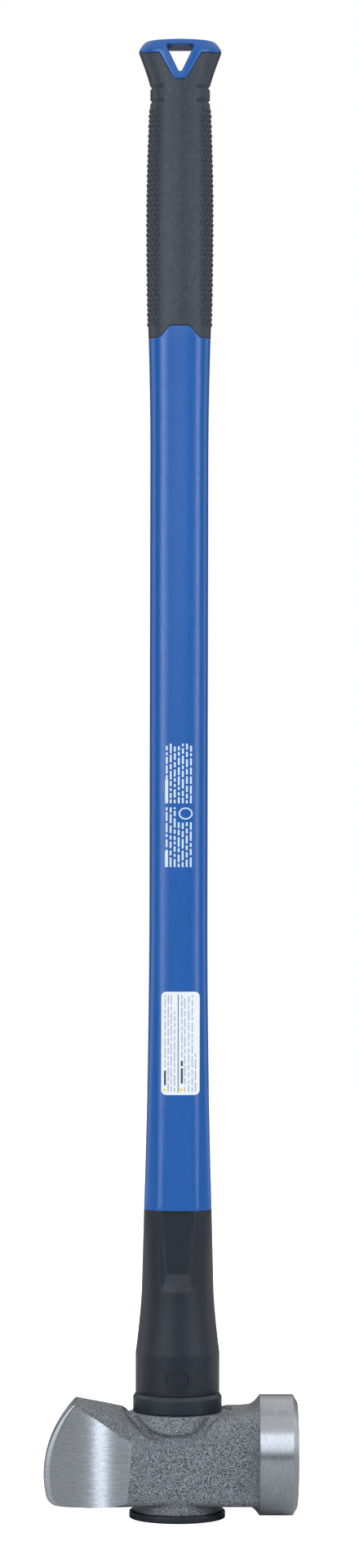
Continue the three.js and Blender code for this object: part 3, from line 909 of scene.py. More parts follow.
def eye_cap():
    """The flange and its spigot."""
    radius, top = cap_high.x, CAP_THICKNESS
    profile = [(0, 0), (radius - CAP_EDGE, 0)]
    for turn in range(1, 6):
        angle = math.radians(18 * turn)
        profile.append((radius - CAP_EDGE * (1 - math.sin(angle)), CAP_EDGE * (1 - math.cos(angle))))
    profile += [(radius, top - 0.35), (radius - 0.1, top - 0.1), (radius - 0.35, top)]
    profile += [(radius - 1.2, top), (radius - 1.5, top - 0.25), (radius - 3, top - 0.25), (0, top - 0.25)]
    flange = turned_about_handle(profile, 160)
    spigot = EYE_BOTTOM - Vector((0.2, 0.2))
    low, high = CAP_THICKNESS / 2, cap_high.z
    plug = closed_tube([oval_ring(low, spigot), oval_ring(high, spigot)], low, high, 96)
    return combine("UNION", flange, plug)


make_piece("cap_moulding", eye_cap(), [nylon], ["eye_cap"], sharp=30)

# %% [markdown]
# ## Collar
# A ring between the head and the sleeve. Its top has a wide soft chamfer and a small bead, and its
# wall shows the fine upright streaks of being pressed on.

# %% Collar
CORE_GAP = 0.2
TANG_WALL = 5.2
core_low, core_high = span("core_rod")
core_half = Vector((core_high.x, core_high.y))


def grown(half, x, y=None):
    """Half sizes grown by x and y, or by x both ways."""
    return half + Vector((x, x if y is None else y))


lower_tang = grown(core_half, TANG_WALL)


def collar():
    """The ring, with an oval hole for the shaft's tang."""
    low, high, radius = collar_low.z, collar_high.z, collar_radius
    profile = [(0, low), (radius - 0.9, low)]
    profile += [(radius - 0.35, low + 0.12), (radius - 0.08, low + 0.45), (radius, low + 0.9)]
    profile += [(radius, high - 2.7), (radius - 0.03, high - 2.45), (radius - 0.12, high - 2.2)]
    profile += [(radius - 1.2, high - 0.35), (radius - 1.35, high - 0.12), (radius - 1.6, high)]
    profile += [(0, high)]
    ring = turned_about_handle(profile, 200)
    hole = grown(lower_tang, CORE_GAP)
    bore = closed_tube([oval_ring(low - 1, hole), oval_ring(high + 1, hole)], low - 1, high + 1, 96)
    return combine("DIFFERENCE", ring, bore)


make_piece("collar_ring", collar(), [rubbed_nylon], ["seat_collar"], sharp=32)

# %% [markdown]
# ## Section of the handle
# Seen along its axis the handle is an octagon with rounded corners. The same power norm as on the head
# rounds a box and its four slanting sides together, and a higher power makes crisper corners. A narrow
# facet beside the front and the back catches the long light that runs up each side of the shaft.

# %% Section
SECTION_CORNER = 1.56
BASE_CRISP = 22
WAIST_CRISP = 7
FACET_SLOPE = 0.373
FACET_REACH = 1.165


def octagon(half, crisp, angle):
    """A rounded octagon's reach at an angle."""
    across = abs(math.cos(angle)) / half.x
    deep = abs(math.sin(angle)) / half.y
    slanted = (across + deep) / SECTION_CORNER
    full = (1 + SECTION_CORNER**-crisp) ** (1 / crisp)
    return full * (across**crisp + deep**crisp + slanted**crisp) ** (-1 / crisp)


def faceted(half, x, y, blend):
    """The depth at x with the corners of the front and back cut by narrow facets."""
    facet = half.y * (FACET_REACH - FACET_SLOPE * abs(x) / half.x)
    return math.copysign(soft_min(abs(y), facet, blend), y)


def facet_blend(crisp):
    """The facets' rounding: sharp where the section is crisp and soft where it isn't."""
    return clamp((BASE_CRISP - crisp) / (BASE_CRISP - WAIST_CRISP)) * 1.1 + 0.25


def ellipse(half, angle):
    """A true ellipse's reach at an angle."""
    return ((math.cos(angle) / half.x) ** 2 + (math.sin(angle) / half.y) ** 2) ** -0.5


# %% [markdown]
# ## Sleeve
# The black sleeve guards the handle when a blow falls short. It starts round at the collar, flares in,
# and turns into the shaft's octagon. At the front and back a tapered pocket runs down from its top.
# The pocket is carved by moving the wall's points back to its floor, sides and ramp, with small
# fillets, which keeps the rows clean where a cut would leave slivers.

# %% Sleeve sizes
sleeve_low, sleeve_high = span("overstrike_sleeve")
shaft_low, shaft_high = span("shaft_jacket")
shaft_base = Vector((shaft_high.x, shaft_high.y))
SLEEVE_FOOT = sleeve_low.z + 24.7
FLARE_HEIGHT = 39.5
FLARE_WIDTH = 2.75
POCKET_FLOOR = shaft_base.y - 2.8
POCKET_RAMP = sleeve_high.z - 39
POCKET_END = sleeve_high.z - 49.6
POCKET_ROUND = 0.35
POCKET_NORM = 6


def sleeve_half(height, top):
    """The sleeve's half width: a draft up to the shaft's size, and a flare at the bottom."""
    share = clamp((height - SLEEVE_FOOT) / FLARE_HEIGHT)
    climb = clamp((height - SLEEVE_FOOT) / (sleeve_high.z - SLEEVE_FOOT))
    return mix(sleeve_high.x - FLARE_WIDTH, top, climb) + FLARE_WIDTH * (1 - share) ** 1.5


def pocket_wall(x, height, skin):
    """How far out the pocket's surface is: its floor, rising at the sides and the ramp to the skin there."""
    down = clamp((sleeve_high.z - height) / (sleeve_high.z - POCKET_RAMP))
    floor_half = mix(8.4, 6.4, down)
    rim_half = mix(11.9, 11.0, down)
    side = max(0.0, abs(x) - floor_half) / (rim_half - floor_half)
    ramp = max(0.0, POCKET_RAMP - height) / (POCKET_RAMP - POCKET_END)
    rise = (side**POCKET_NORM + ramp**POCKET_NORM) ** (1 / POCKET_NORM)
    return POCKET_FLOOR + (skin - POCKET_FLOOR) * rise


def sleeve_ring(height, inset=0.0, pocket=True):
    """A ring of the sleeve's outside."""
    climb = clamp((height - SLEEVE_FOOT) / (sleeve_high.z - SLEEVE_FOOT))
    half = grown(Vector([sleeve_half(height, top) for top in shaft_base]), -inset)
    crisp = mix(2, BASE_CRISP, climb**3)

    def ring(angle):
        reach = mix(octagon(half, crisp, angle), ellipse(half, angle), 1 - climb**1.5)
        x, y = reach * math.cos(angle), reach * math.sin(angle)
        y = faceted(half, x, y, 0.3)
        if pocket and height > POCKET_END - 3:
            skin = max(abs(y), POCKET_FLOOR)
            carved = soft_min(abs(y), pocket_wall(x, height, skin), POCKET_ROUND)
            y = math.copysign(carved, y)
        return Vector((x, y, height))

    return ring


# %% Sleeve
def even(low, high, step):
    """Heights from low to high, at most a step apart, without the last."""
    count = max(1, math.ceil((high - low) / step))
    return [mix(low, high, i / count) for i in range(count)]


def sleeve():
    """The sleeve's outside, its top, and the bore for the shaft's tang."""
    low, high = sleeve_low.z, sleeve_high.z
    bore = grown(lower_tang, CORE_GAP)
    rings = [oval_ring(low, bore)]
    rings += [sleeve_ring(low, 0.5), sleeve_ring(low + 0.15, 0.15), sleeve_ring(low + 0.5)]
    rings += [sleeve_ring(z) for z in even(low + 3, SLEEVE_FOOT - 0.4, 5)]
    rings += [sleeve_ring(z) for z in even(SLEEVE_FOOT - 0.3, SLEEVE_FOOT + 0.3, 0.15)]
    rings += [sleeve_ring(z) for z in even(SLEEVE_FOOT + 0.6, POCKET_END - 3, 1.2)]
    rings += [sleeve_ring(z) for z in even(POCKET_END - 3, high - 0.5, 0.55)]
    rings += [sleeve_ring(high - 0.5), sleeve_ring(high - 0.12, 0.1), sleeve_ring(high, 0.4)]
    rings += [oval_ring(high, bore), oval_ring(low, bore)]
    return wrap(rings, 320)


make_piece("sleeve_moulding", sleeve(), [nylon], ["overstrike_sleeve"], sharp=40)

# %% [markdown]
# ## Emblem
# The sleeve carries a low raised mark near its foot. This one is plain: an oval ring round a lozenge,
# with a bar under it. It is drawn flat, then bent onto the sleeve and sunk a little into it.

# %% Emblem
EMBLEM_HEIGHT = 88.0
EMBLEM_RELIEF = 0.8


def bend_on_sleeve(bm):
    """Bends a flat drawing in x and z onto the sleeve's front: y becomes the height above it."""
    for vert in bm.verts:
        radius = sleeve_high.x - vert.co.y
        angle = vert.co.x / sleeve_high.x
        vert.co = Vector((radius * math.sin(angle), -radius * math.cos(angle), vert.co.z))


def flat_ring(bm, outer, inner, steps, place):
    """Adds a flat oval ring between two half sizes. "place" puts a point of it where it goes."""
    for i in range(steps):
        turns = [math.tau * (i + end) / steps for end in (0, 1)]
        corners = [(outer, turns[0]), (outer, turns[1]), (inner, turns[1]), (inner, turns[0])]
        points = [place(half[0] * math.cos(turn), half[1] * math.sin(turn)) for half, turn in corners]
        bm.faces.new([bm.verts.new(point) for point in points])


def emblem():
    """The raised ring, the lozenge and the bar."""
    bm = bmesh.new()
    flat_ring(bm, (8.2, 6.6), (7.2, 5.6), 40, lambda x, z: (x, 0, EMBLEM_HEIGHT + z))
    lozenge = [(0, 4.2), (4.6, 0), (0, -4.2), (-4.6, 0)]
    bm.faces.new([bm.verts.new((x, 0, EMBLEM_HEIGHT + z)) for x, z in lozenge])
    bar = [(-6, -8.2), (6, -8.2), (6, -9.6), (-6, -9.6)]
    bm.faces.new([bm.verts.new((x, 0, EMBLEM_HEIGHT + z)) for x, z in bar])
    bmesh.ops.remove_doubles(bm, verts=bm.verts, dist=1e-4)
    bmesh.ops.triangulate(bm, faces=[face for face in bm.faces if face.calc_area() > 4])
    long_edges = [edge for edge in bm.edges if edge.calc_length() > 3]
    bmesh.ops.subdivide_edges(bm, edges=long_edges, cuts=3, use_grid_fill=True)
    made = bmesh.ops.extrude_face_region(bm, geom=bm.faces[:])["geom"]
    raised = [item for item in made if isinstance(item, bmesh.types.BMVert)]
    bmesh.ops.translate(bm, verts=raised, vec=(0, -EMBLEM_RELIEF, 0))
    bmesh.ops.translate(bm, verts=bm.verts, vec=(0, 0.1, 0))
    bend_on_sleeve(bm)
    bmesh.ops.recalc_face_normals(bm, faces=bm.faces)
    return bm


make_piece("sleeve_emblem", emblem(), [nylon], sharp=40)

# %% [markdown]
# ## Shaft
# The blue jacket is moulded round the core. It is slim in the middle and widens in a parabola to each
# end, with crisp facets low down that melt away above. At the top a tongue rises into the grip at the
# front and back. Tangs inside the sleeve and the grip hold them. The seam is a function of x, so the
# shaft's last rows and the grip's first rows follow it together.

# %% Shaft sizes
grip_low, grip_high = span("grip_sleeve")
butt_low, butt_high = span("butt_cap")
shaft_bottom = sleeve_high.z + SEAT_GAP
shaft_top = grip_low.z - SEAT_GAP
tang_top = shaft_high.z
shaft_waist = grown(core_half, 5, 4.5)
upper_tang = grown(core_half, 2.4)
shaft_end = grown(upper_tang, 3.8)
BASE_FLARE = 190
SHOULDER_FLARE = 75
TONGUE_RISE = 7.3
TONGUE_TOP = 6.1
TONGUE_BOTTOM = 12.15
SEAM_ROUND = 0.45
COLUMNS = 288


def shaft_section(height):
    """The shaft's half sizes and how crisp its corners are, at a height."""
    base = clamp((shaft_bottom + BASE_FLARE - height) / BASE_FLARE) ** 2
    end = clamp((height - (shaft_top - SHOULDER_FLARE)) / SHOULDER_FLARE) ** 2
    half = mix(mix(shaft_waist, shaft_base, base), shaft_end, end)
    return half, mix(WAIST_CRISP, BASE_CRISP, base)


def tongue(x):
    """How far the shaft's tongue rises at x, with rounded corners."""
    slope = TONGUE_RISE / (TONGUE_BOTTOM - TONGUE_TOP)
    slanting = slope * (TONGUE_BOTTOM - abs(x))
    return soft_min(soft_max(slanting, 0, 2.2), TONGUE_RISE, 1.2)


def shaft_place(height, angle, inset=0.0):
    """A point of the shaft's outside."""
    half, crisp = shaft_section(height)
    half = grown(half, -inset)
    reach = octagon(half, crisp, angle)
    x, y = reach * math.cos(angle), reach * math.sin(angle)
    return Vector((x, faceted(half, x, y, facet_blend(crisp)), height))


def seam_ring(drop, inset=0.0):
    """A ring that follows the seam between shaft and grip, "drop" below it."""

    def ring(angle):
        point = shaft_place(shaft_top, angle, inset)
        point.z = shaft_top + tongue(point.x) - drop
        return point

    return ring


def seam_oval(half, drop):
    """The same on an oval tang."""

    def ring(angle):
        reach = oval(half, angle)
        x, y = reach * math.cos(angle), reach * math.sin(angle)
        return Vector((x, y, shaft_top + tongue(x) - drop))

    return ring


def shaft_ring(height, inset=0.0):
    """A level ring of the shaft's outside."""
    return lambda angle: shaft_place(height, angle, inset)


def quarter(size, steps=4):
    """The drop and inset of the points of a rounded edge, from the wall to the end face."""
    turns = [math.radians(90 * i / steps) for i in range(steps + 1)]
    return [(size * (1 - math.sin(turn)), size * (1 - math.cos(turn))) for turn in turns]


# %% Shaft
def shaft():
    """The jacket: tang, blue outside, tongues, tang in the grip, and the core's bore."""
    bore = grown(core_half, CORE_GAP)
    rings = [oval_ring(shaft_low.z, bore), oval_ring(shaft_low.z, lower_tang)]
    rings += [oval_ring(shaft_bottom, lower_tang)]
    rings += [shaft_ring(shaft_bottom + drop, inset) for drop, inset in reversed(quarter(0.35))]
    rings += [shaft_ring(z) for z in even(shaft_bottom + 3, shaft_bottom + BASE_FLARE, 6)]
    rings += [shaft_ring(z) for z in even(shaft_bottom + BASE_FLARE, shaft_top - SHOULDER_FLARE, 20)]
    rings += [shaft_ring(z) for z in even(shaft_top - SHOULDER_FLARE, shaft_top - 5, 5)]
    start = shaft_top - 5
    steps = 7
    for i in range(steps):
        rings.append(stretched_seam(start, i / steps))
    rings += [seam_ring(drop, inset) for drop, inset in quarter(SEAM_ROUND)]
    rings += [seam_oval(upper_tang, 0), oval_ring(tang_top, upper_tang)]
    rings += [oval_ring(tang_top, bore), oval_ring(shaft_low.z, bore)]
    return wrap(rings, COLUMNS)


def stretched_seam(start, share):
    """A ring part of the way from a level start to the seam."""

    def ring(angle):
        seam = shaft_top + tongue(shaft_place(shaft_top, angle).x) - SEAM_ROUND
        height = mix(start, seam, share)
        point = shaft_place(min(height, shaft_top), angle)
        point.z = height
        return point

    return ring


make_piece("shaft_moulding", shaft(), [blue], ["shaft_jacket"], sharp=40)

# %% [markdown]
# ## Grip
# The rubber grip swells in the palm, narrows to a neck with two short grooves at each side, and flares
# out to the butt. Its lower edge fits round the shaft's tongues, and its upper edge round the V of the
# end cap. Both edges are rounded, so the seams read as dark lines between two soft lips.

# %% Grip sizes
BELLY = grip_low.z + 74
NECK = grip_low.z + 146
GROOVE_WIDTH = 1.6
GROOVE_DEPTH = 0.8
GROOVE_PITCH = 8.6
GRIP_CRISP = 4
grip_foot = grown(shaft_end, 0.1)
grip_neck = grown(upper_tang, 2.7)
grip_belly = grown(grip_neck, 2.1)
butt_rim = grown(grip_neck, 7.7, 2)
overall = butt_high.z
cap_underside = overall - 7.3
seam_slope = 2.3 / butt_rim.y
FLARE_START = NECK + GROOVE_PITCH + GROOVE_WIDTH
eyelet_top = overall - 4.1
eyelet_apex = eyelet_top - 16.8
V_FOOT = eyelet_apex - 4.6
V_HALF = 3.6
V_SLOPE = 0.58


def grip_section(height):
    """The grip's half sizes at a height: foot, belly, neck and flare."""
    ridge_half = grown(grip_neck, GROOVE_DEPTH / 2, 0)
    if height < BELLY:
        share = clamp((height - grip_low.z) / (BELLY - grip_low.z))
        return mix(grip_foot, grip_belly, math.sin(share * math.pi / 2))
    if height < NECK:
        share = (height - BELLY) / (NECK - BELLY)
        return mix(ridge_half, grip_belly, math.cos(share * math.pi / 2))
    share = clamp((height - FLARE_START) / (cap_underside - FLARE_START))
    return Vector((mix(ridge_half.x, butt_rim.x, share**1.15), mix(ridge_half.y, butt_rim.y, share)))


def groove(x, height):
    """How deep the short grooves at the sides are."""
    depth = 0.0
    for start in (NECK, NECK + GROOVE_PITCH):
        from_middle = (height - start - GROOVE_WIDTH / 2) / (GROOVE_WIDTH / 2)
        depth += math.exp(-(from_middle**4))
    return GROOVE_DEPTH * depth * ease(abs(x), 9.6, 11.2)


def grip_place(height, angle, inset=0.0):
    """A point of the grip's outside."""
    reach = octagon(grown(grip_section(height), -inset), GRIP_CRISP, angle)
    reach -= groove(reach * math.cos(angle), height)
    return Vector((reach * math.cos(angle), reach * math.sin(angle), height))


def cap_seam(x, y):
    """The height of the seam between grip and cap: sloping eaves, and the V at the middle."""
    eaves = cap_underside - seam_slope * abs(y)
    vee = V_FOOT + soft_max(0.0, (abs(x) - V_HALF) / V_SLOPE, 3.2)
    return soft_min(eaves, vee, 0.9)


# %% Grip
def lower_grip_ring(share, level, drop=0.0, inset=0.0):
    """A ring from the shaft's seam, at share 0, to a level height."""

    def ring(angle):
        point = grip_place(grip_low.z, angle, inset)
        seam = grip_low.z + SEAT_GAP + tongue(point.x) + drop
        return grip_place(mix(seam, level, share), angle, inset)

    return ring


def upper_grip_ring(share, level, drop=0.0, inset=0.0):
    """A ring from a level height, at share 0, to the cap's seam."""

    def ring(angle):
        height = cap_underside
        for _ in range(8):
            point = grip_place(height, angle, inset)
            height = mix(level, cap_seam(point.x, point.y) - SEAT_GAP - drop, share)
        return grip_place(height, angle, inset)

    return ring


def bore_ring(half, follow):
    """A ring of the grip's bore that follows a seam."""

    def ring(angle):
        reach = oval(half, angle)
        x, y = reach * math.cos(angle), reach * math.sin(angle)
        return Vector((x, y, follow(x, y)))

    return ring


def grip():
    """The rubber grip: its lips, its outside and its bore."""
    bore = grown(upper_tang, CORE_GAP)
    low_level = grip_low.z + 14
    high_level = FLARE_START + 0.4
    rings = [bore_ring(bore, lambda x, y: grip_low.z + SEAT_GAP + tongue(x))]
    rings += [lower_grip_ring(0, low_level, drop, inset) for drop, inset in reversed(quarter(SEAM_ROUND))]
    rings += [lower_grip_ring(i / 8, low_level) for i in range(1, 8)]
    levels = even(low_level, NECK - 0.6, 3) + even(NECK - 0.6, NECK + 2.4, 0.2)
    levels += even(NECK + 2.4, NECK + GROOVE_PITCH - 0.6, 1)
    levels += even(NECK + GROOVE_PITCH - 0.6, high_level, 0.2)
    rings += [lambda angle, z=z: grip_place(z, angle) for z in levels]
    rings += [upper_grip_ring(i / 16, high_level, SEAM_ROUND) for i in range(16)]
    rings += [upper_grip_ring(1, high_level, drop, inset) for drop, inset in quarter(SEAM_ROUND)]
    rings += [bore_ring(bore, lambda x, y: min(cap_seam(x, y), V_FOOT + 2) - SEAT_GAP)]
    rings += [bore_ring(bore, lambda x, y: grip_low.z + SEAT_GAP + tongue(x))]
    return wrap(rings, COLUMNS)


make_piece("grip_rubber", grip(), [rubber], ["grip_sleeve"], sharp=50)

# %% [markdown]
# ## Grip dots
# Rows of low round studs cover the sides of the grip, staggered and nearly touching, so that a wet
# glove holds. Each is a small blunt cone with a bevelled rim, a few dozen faces, turned to stand
# square on the surface. The rows stop before the smooth front and back.

# %% Grip dots
DOT_RADIUS = 1.55
DOT_RELIEF = 0.7
DOT_PITCH = 3.55
DOTS_FROM = 13.2
DOTS_LOW = grip_low.z + 9
DOTS_HIGH = NECK - 4


def dot_angles(height, shift):
    """Angles a dot's pitch apart along the grip's right side, where it is dotted."""
    found = []
    fine = 720
    points = [grip_place(height, math.pi * (i / fine - 0.5)) for i in range(fine + 1)]
    middle = sum((b - a).length for a, b in zip(points, points[1:])) / 2
    walked = (-middle + shift) % DOT_PITCH - DOT_PITCH
    for i, (a, b) in enumerate(zip(points, points[1:])):
        walked += (b - a).length
        if walked >= 0:
            walked -= DOT_PITCH
            if b.x > DOTS_FROM:
                found.append(math.pi * ((i + 1) / fine - 0.5))
    return found


def stand_on_grip(height, angle):
    """The placing of something that stands on the grip's surface, square to it."""
    here = grip_place(height, angle)
    along = grip_place(height + 0.5, angle) - grip_place(height - 0.5, angle)
    round_it = grip_place(height, angle + 0.01) - grip_place(height, angle - 0.01)
    out = round_it.cross(along).normalized()
    return Matrix.Translation(here) @ out.to_track_quat("Z", "Y").to_matrix().to_4x4()


def one_dot():
    """A blunt cone with a soft rim, sunk into the surface it stands on."""
    bm = bmesh.new()
    sunk = 0.4
    bmesh.ops.create_cone(
        bm,
        cap_ends=True,
        segments=12,
        radius1=DOT_RADIUS,
        radius2=DOT_RADIUS * 0.68,
        depth=DOT_RELIEF + sunk,
        matrix=Matrix.Translation((0, 0, (DOT_RELIEF - sunk) / 2)),
    )
    rim = [edge for edge in bm.edges if all(vert.co.z > 0 for vert in edge.verts)]
    bmesh.ops.bevel(bm, geom=rim, offset=0.22, segments=2, profile=0.5, affect="EDGES", material=-1)
    mesh = bpy.data.meshes.new("dot")
    bm.to_mesh(mesh)
    bm.free()
    return mesh


def dots():
    """All the studs of both sides in one mesh."""
    pattern = one_dot()
    bm = bmesh.new()
    row_pitch = DOT_PITCH * math.cos(math.radians(30))
    rows = int((DOTS_HIGH - DOTS_LOW) / row_pitch) + 1
    for row in range(rows):
        height = DOTS_LOW + row * row_pitch
        for angle in dot_angles(height, (row % 2) * DOT_PITCH / 2):
            for side in (angle, math.pi - angle):
                before = len(bm.verts)
                bm.from_mesh(pattern)
                bm.verts.ensure_lookup_table()
                placed = stand_on_grip(height, side)
                bmesh.ops.transform(bm, matrix=placed, verts=bm.verts[before:])
    bpy.data.meshes.remove(pattern)
    return bm


make_piece("grip_dots", dots(), [rubber], sharp=50)

# %% [markdown]
# ## Butt cap
# The end cap is one moulding: a crowned top, a V that frames the hanging hole, and a plug that goes
# down into the shaft. The outside is a loft. It is cut to the seam and the V, the hole is cut out, and
# then the whole is remeshed finely and smoothed, which gives the soft radii of a mould everywhere.

# %% Butt cap sizes
CAP_CROWN = 0.9
CAP_DRAW = Vector((4.4, 2.6))
PROUD = 0.25
HOLE_TOP_HALF = 9
HOLE_APEX_HALF = 0.8
CAP_STEM = 16


def cap_outside():
    """The loft of the cap, from below the V's foot to the crown."""
    shoulder = overall - CAP_CROWN
    below = even(V_FOOT - 3, cap_underside - 0.01, 1.0)
    rings = [on_handle(V_FOOT - 3, lambda angle: 0.0)]
    rings += [lambda angle, z=z: grip_place(z, angle, -PROUD) for z in below]
    steps = [(0, 0), (0.15, 0.06), (0.35, 0.2), (0.55, 0.4), (0.75, 0.62), (0.9, 0.82), (1, 1)]
    for climb, draw in steps:
        half = butt_rim - CAP_DRAW * draw
        level = mix(cap_underside, shoulder, climb)
        rings.append(on_handle(level, lambda angle, half=half: octagon(half, GRIP_CRISP, angle)))
    top = butt_rim - CAP_DRAW
    for share, rise in ((0.85, 0.45), (0.6, 0.8), (0.3, 0.95), (0, 1)):
        level = mix(shoulder, overall, rise)
        rings.append(on_handle(level, lambda angle, s=share: s * octagon(top, GRIP_CRISP, angle)))
    return wrap(rings, 240)


def above_seam():
    """Everything above the seam, which falls from a ridge to the front and back."""
    reach = 60
    eaves = cap_underside - seam_slope * reach
    top = overall + 9
    bm = slab([(0, cap_underside), (reach, eaves), (reach, top), (-reach, top), (-reach, eaves)], reach)
    bmesh.ops.rotate(bm, verts=bm.verts, cent=(0, 0, 0), matrix=Matrix.Rotation(math.radians(90), 3, "Z"))
    return bm


def vee():
    """The V round the hole, with a rounded foot."""
    top = overall - CAP_CROWN
    top_half = V_HALF + (top - V_FOOT) * V_SLOPE
    outline = [(-V_HALF, V_FOOT), (V_HALF, V_FOOT), (top_half, top), (-top_half, top)]
    return slab(outline, 40, corner=1.6, segments=8)


def hole(grow, reach, shift=0.0, corner=0.9):
    """The triangular hole, grown all round."""
    outline = [
        (-HOLE_APEX_HALF - grow / 2, eyelet_apex - grow),
        (HOLE_APEX_HALF + grow / 2, eyelet_apex - grow),
        (HOLE_TOP_HALF + grow, eyelet_top + grow * 0.7),
        (-HOLE_TOP_HALF - grow, eyelet_top + grow * 0.7),
    ]
    bm = slab(outline, reach, corner=corner)
    bmesh.ops.translate(bm, verts=bm.verts, vec=(0, shift, 0))
    return bm


def stem():
    """The plug that goes down into the shaft."""
    low = max(butt_low.z, V_FOOT - CAP_STEM)
    high = V_FOOT + 2
    return closed_tube([oval_ring(low, core_half), oval_ring(high, core_half)], low, high, 72)


# %% Butt cap
CAP_VOXEL = 0.36
CAP_SMOOTHING = 18


def butt_cap():
    """The moulding, cut, remeshed and smoothed."""
    frame_shape = combine("UNION", above_seam(), vee())
    cap = combine("INTERSECT", cap_outside(), frame_shape)
    cap = combine("UNION", cap, stem())
    cap = combine("DIFFERENCE", cap, hole(0.0, 40))
    for side in (-1, 1):
        mouth = hole(0.9, 2.2, shift=side * (butt_rim.y + 0.6))
        cap = combine("DIFFERENCE", cap, mouth)
    return remeshed(cap, CAP_VOXEL, CAP_SMOOTHING)


make_piece("butt_moulding", butt_cap(), [blue], ["butt_cap"], sharp=60)

# %% [markdown]
# ## Label and print
# A white vinyl label and a block of white pad print sit on the shaft's front. Their wording is left
# out: plain bars stand for the lines. Each is a small grid laid on the shaft, so that it bends with the
# facets, with a thin thickness of its own.


# %% Films on the shaft
def shaft_front(x, height):
    """How far forward the shaft's front is at x, found by halving the interval."""
    half, crisp = shaft_section(height)
    full = (1 + SECTION_CORNER**-crisp) ** (1 / crisp)
    low, high = 0.0, half.y + 1
    for _ in range(26):
        y = (low + high) / 2
        across, deep = abs(x) / half.x, y / half.y
        size = (across**crisp + deep**crisp + ((across + deep) / SECTION_CORNER) ** crisp) ** (1 / crisp)
        low, high = (y, high) if size < full else (low, y)
    return faceted(half, x, low, facet_blend(crisp))


def film(bm, left, right, low, high, lift, corner=0.0):
    """Adds a film to the bmesh: a grid between those sides, laid "lift" above the shaft's front."""
    columns = max(1, math.ceil((right - left) / 0.8))
    heights = even(low + corner, high - corner, 3) + [high - corner]
    if corner:
        steps = 8
        rounds = [corner * (1 - math.cos(math.pi / 2 * i / steps)) for i in range(steps)]
        heights = [low + drop for drop in rounds] + heights + [high - drop for drop in reversed(rounds)]
    made = bmesh.ops.create_grid(bm, x_segments=columns, y_segments=len(heights) - 1, size=0.5)
    for vert in made["verts"]:
        height = heights[round((vert.co.y + 0.5) * (len(heights) - 1))]
        from_end = min(height - low, high - height, corner)
        inset = corner - math.sqrt(max(0.0, corner**2 - (corner - from_end) ** 2))
        x = mix(left + inset, right - inset, vert.co.x + 0.5)
        vert.co = Vector((x, -shaft_front(x, height) - lift, height))


def films_piece(name, bm, material, thickness):
    """A set of films as a piece, with its thickness outwards."""
    bmesh.ops.recalc_face_normals(bm, faces=bm.faces)
    for face in bm.faces:
        if face.normal.y > 0:
            face.normal_flip()
    bmesh.ops.solidify(bm, geom=bm.faces[:], thickness=-thickness)
    bmesh.ops.recalc_face_normals(bm, faces=bm.faces)
    return make_piece(name, bm, [material], sharp=40)


# %% Label
label_low, label_high = span("care_label")
LABEL_LIFT = 0.1
LABEL_THICKNESS = 0.2


def label():
    """The vinyl sticker."""
    bm = bmesh.new()
    film(bm, label_low.x, label_high.x, label_low.z, label_high.z, LABEL_LIFT, corner=3)
    piece = films_piece("label_sticker", bm, vinyl, LABEL_THICKNESS)
    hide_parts("care_label")


label()


# %% Printed bars
def words(dice, low, high, longest):
    """Splits a printed line into bars with gaps between them, as pairs of heights."""
    bars = []
    at = low
    while at < high - 1:
        end = min(high, at + dice.uniform(longest * 0.3, longest))
        bars.append((at, end))
        at = end + dice.uniform(0.8, 1.4)
    return bars


def lines(dice, bm, columns, width, lift, longest):
    """Adds printed lines: each is its x, and its low and high ends."""
    for x, low, high in columns:
        for start, end in words(dice, low, high, longest):
            film(bm, x - width / 2, x + width / 2, start, end, lift)


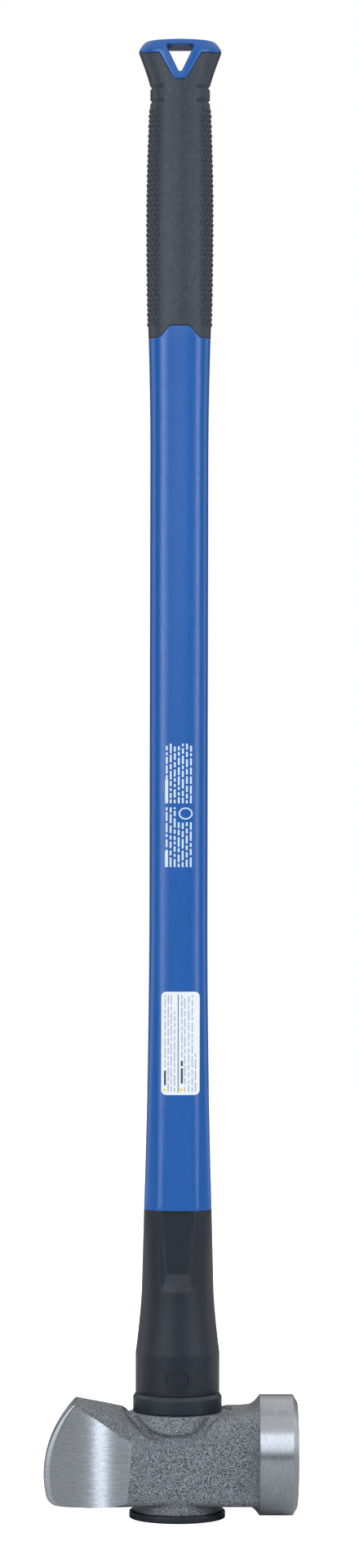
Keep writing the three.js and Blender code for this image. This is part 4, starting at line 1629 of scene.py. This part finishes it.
def label_print():
    """The divider, the fine lines and the bolder headings of the label, and two plain triangles."""
    dice = random.Random(11)
    lift = LABEL_LIFT + LABEL_THICKNESS + 0.03
    low, high = label_low.z + 2, label_high.z - 2
    left = [(-8.1, low + 15, high), (-6.1, low, high), (-4.3, low, high), (-2.2, low, high - 10)]
    right = [(2.3, low + 21, high), (4.1, low, high), (6.5, low, high)]
    right += [(8.7, low, high), (10.7, low, high - 36)]
    fine = bmesh.new()
    lines(dice, fine, left + right, 0.75, lift, 7)
    films_piece("label_fine_print", fine, grey_ink, 0.02)
    bold = bmesh.new()
    film(bold, -0.25, 0.25, label_low.z + 1.5, label_high.z - 1.5, lift)
    lines(dice, bold, [(-8.1, low + 4, low + 13), (2.3, low + 5, low + 19)], 1.3, lift, 16)
    films_piece("label_bold_print", bold, dark_ink, 0.02)
    marks = bmesh.new()
    for x in (-8.1, 2.3):
        height = low + 1.2
        points = [(x - 1.2, height - 1.2), (x + 1.2, height), (x - 1.2, height + 1.2)]
        marks.faces.new([marks.verts.new((px, -shaft_front(px, pz) - lift, pz)) for px, pz in points])
    films_piece("label_triangles", marks, yellow_ink, 0.02)


label_print()

# %% Pad print
PRINT_LOW = 402.8
PRINT_MIDDLE = (439.6, 442.1)
PRINT_HIGH = 478.9
PRINT_FIRST = -7.4
PRINT_PITCH = 2.49
PRINT_LINES = 7
RING_CENTRE = (4.3, 435.8)
RING_SQUASH = 0.86


def pad_print():
    """Two blocks of seven white lines, with a plain ring between them."""
    dice = random.Random(5)
    bm = bmesh.new()
    lift = 0.04
    for i in range(PRINT_LINES):
        x = PRINT_FIRST + i * PRINT_PITCH
        top = PRINT_MIDDLE[0] if i < 3 else PRINT_MIDDLE[0] - 9.2
        lines(dice, bm, [(x, PRINT_LOW, top), (x, PRINT_MIDDLE[1], PRINT_HIGH)], 1.15, lift, 6)
    for low, high in ((PRINT_LOW, PRINT_LOW + 10), (PRINT_MIDDLE[1], PRINT_MIDDLE[1] + 14.5)):
        film(bm, PRINT_FIRST - 1.0, PRINT_FIRST + 0.9, low, high, lift + 0.03)
    ring_of_print(bm, lift)
    films_piece("shaft_print", bm, white_ink, 0.02)


def ring_of_print(bm, lift):
    """A plain ring on the shaft's front."""

    def on_shaft(x, z):
        x, z = RING_CENTRE[0] + x, RING_CENTRE[1] + z
        return (x, -shaft_front(x, z) - lift, z)

    flat_ring(bm, (4.3, 4.3 * RING_SQUASH), (3.4, 3.4 * RING_SQUASH), 36, on_shaft)
    bmesh.ops.remove_doubles(bm, verts=bm.verts, dist=1e-4)


pad_print()
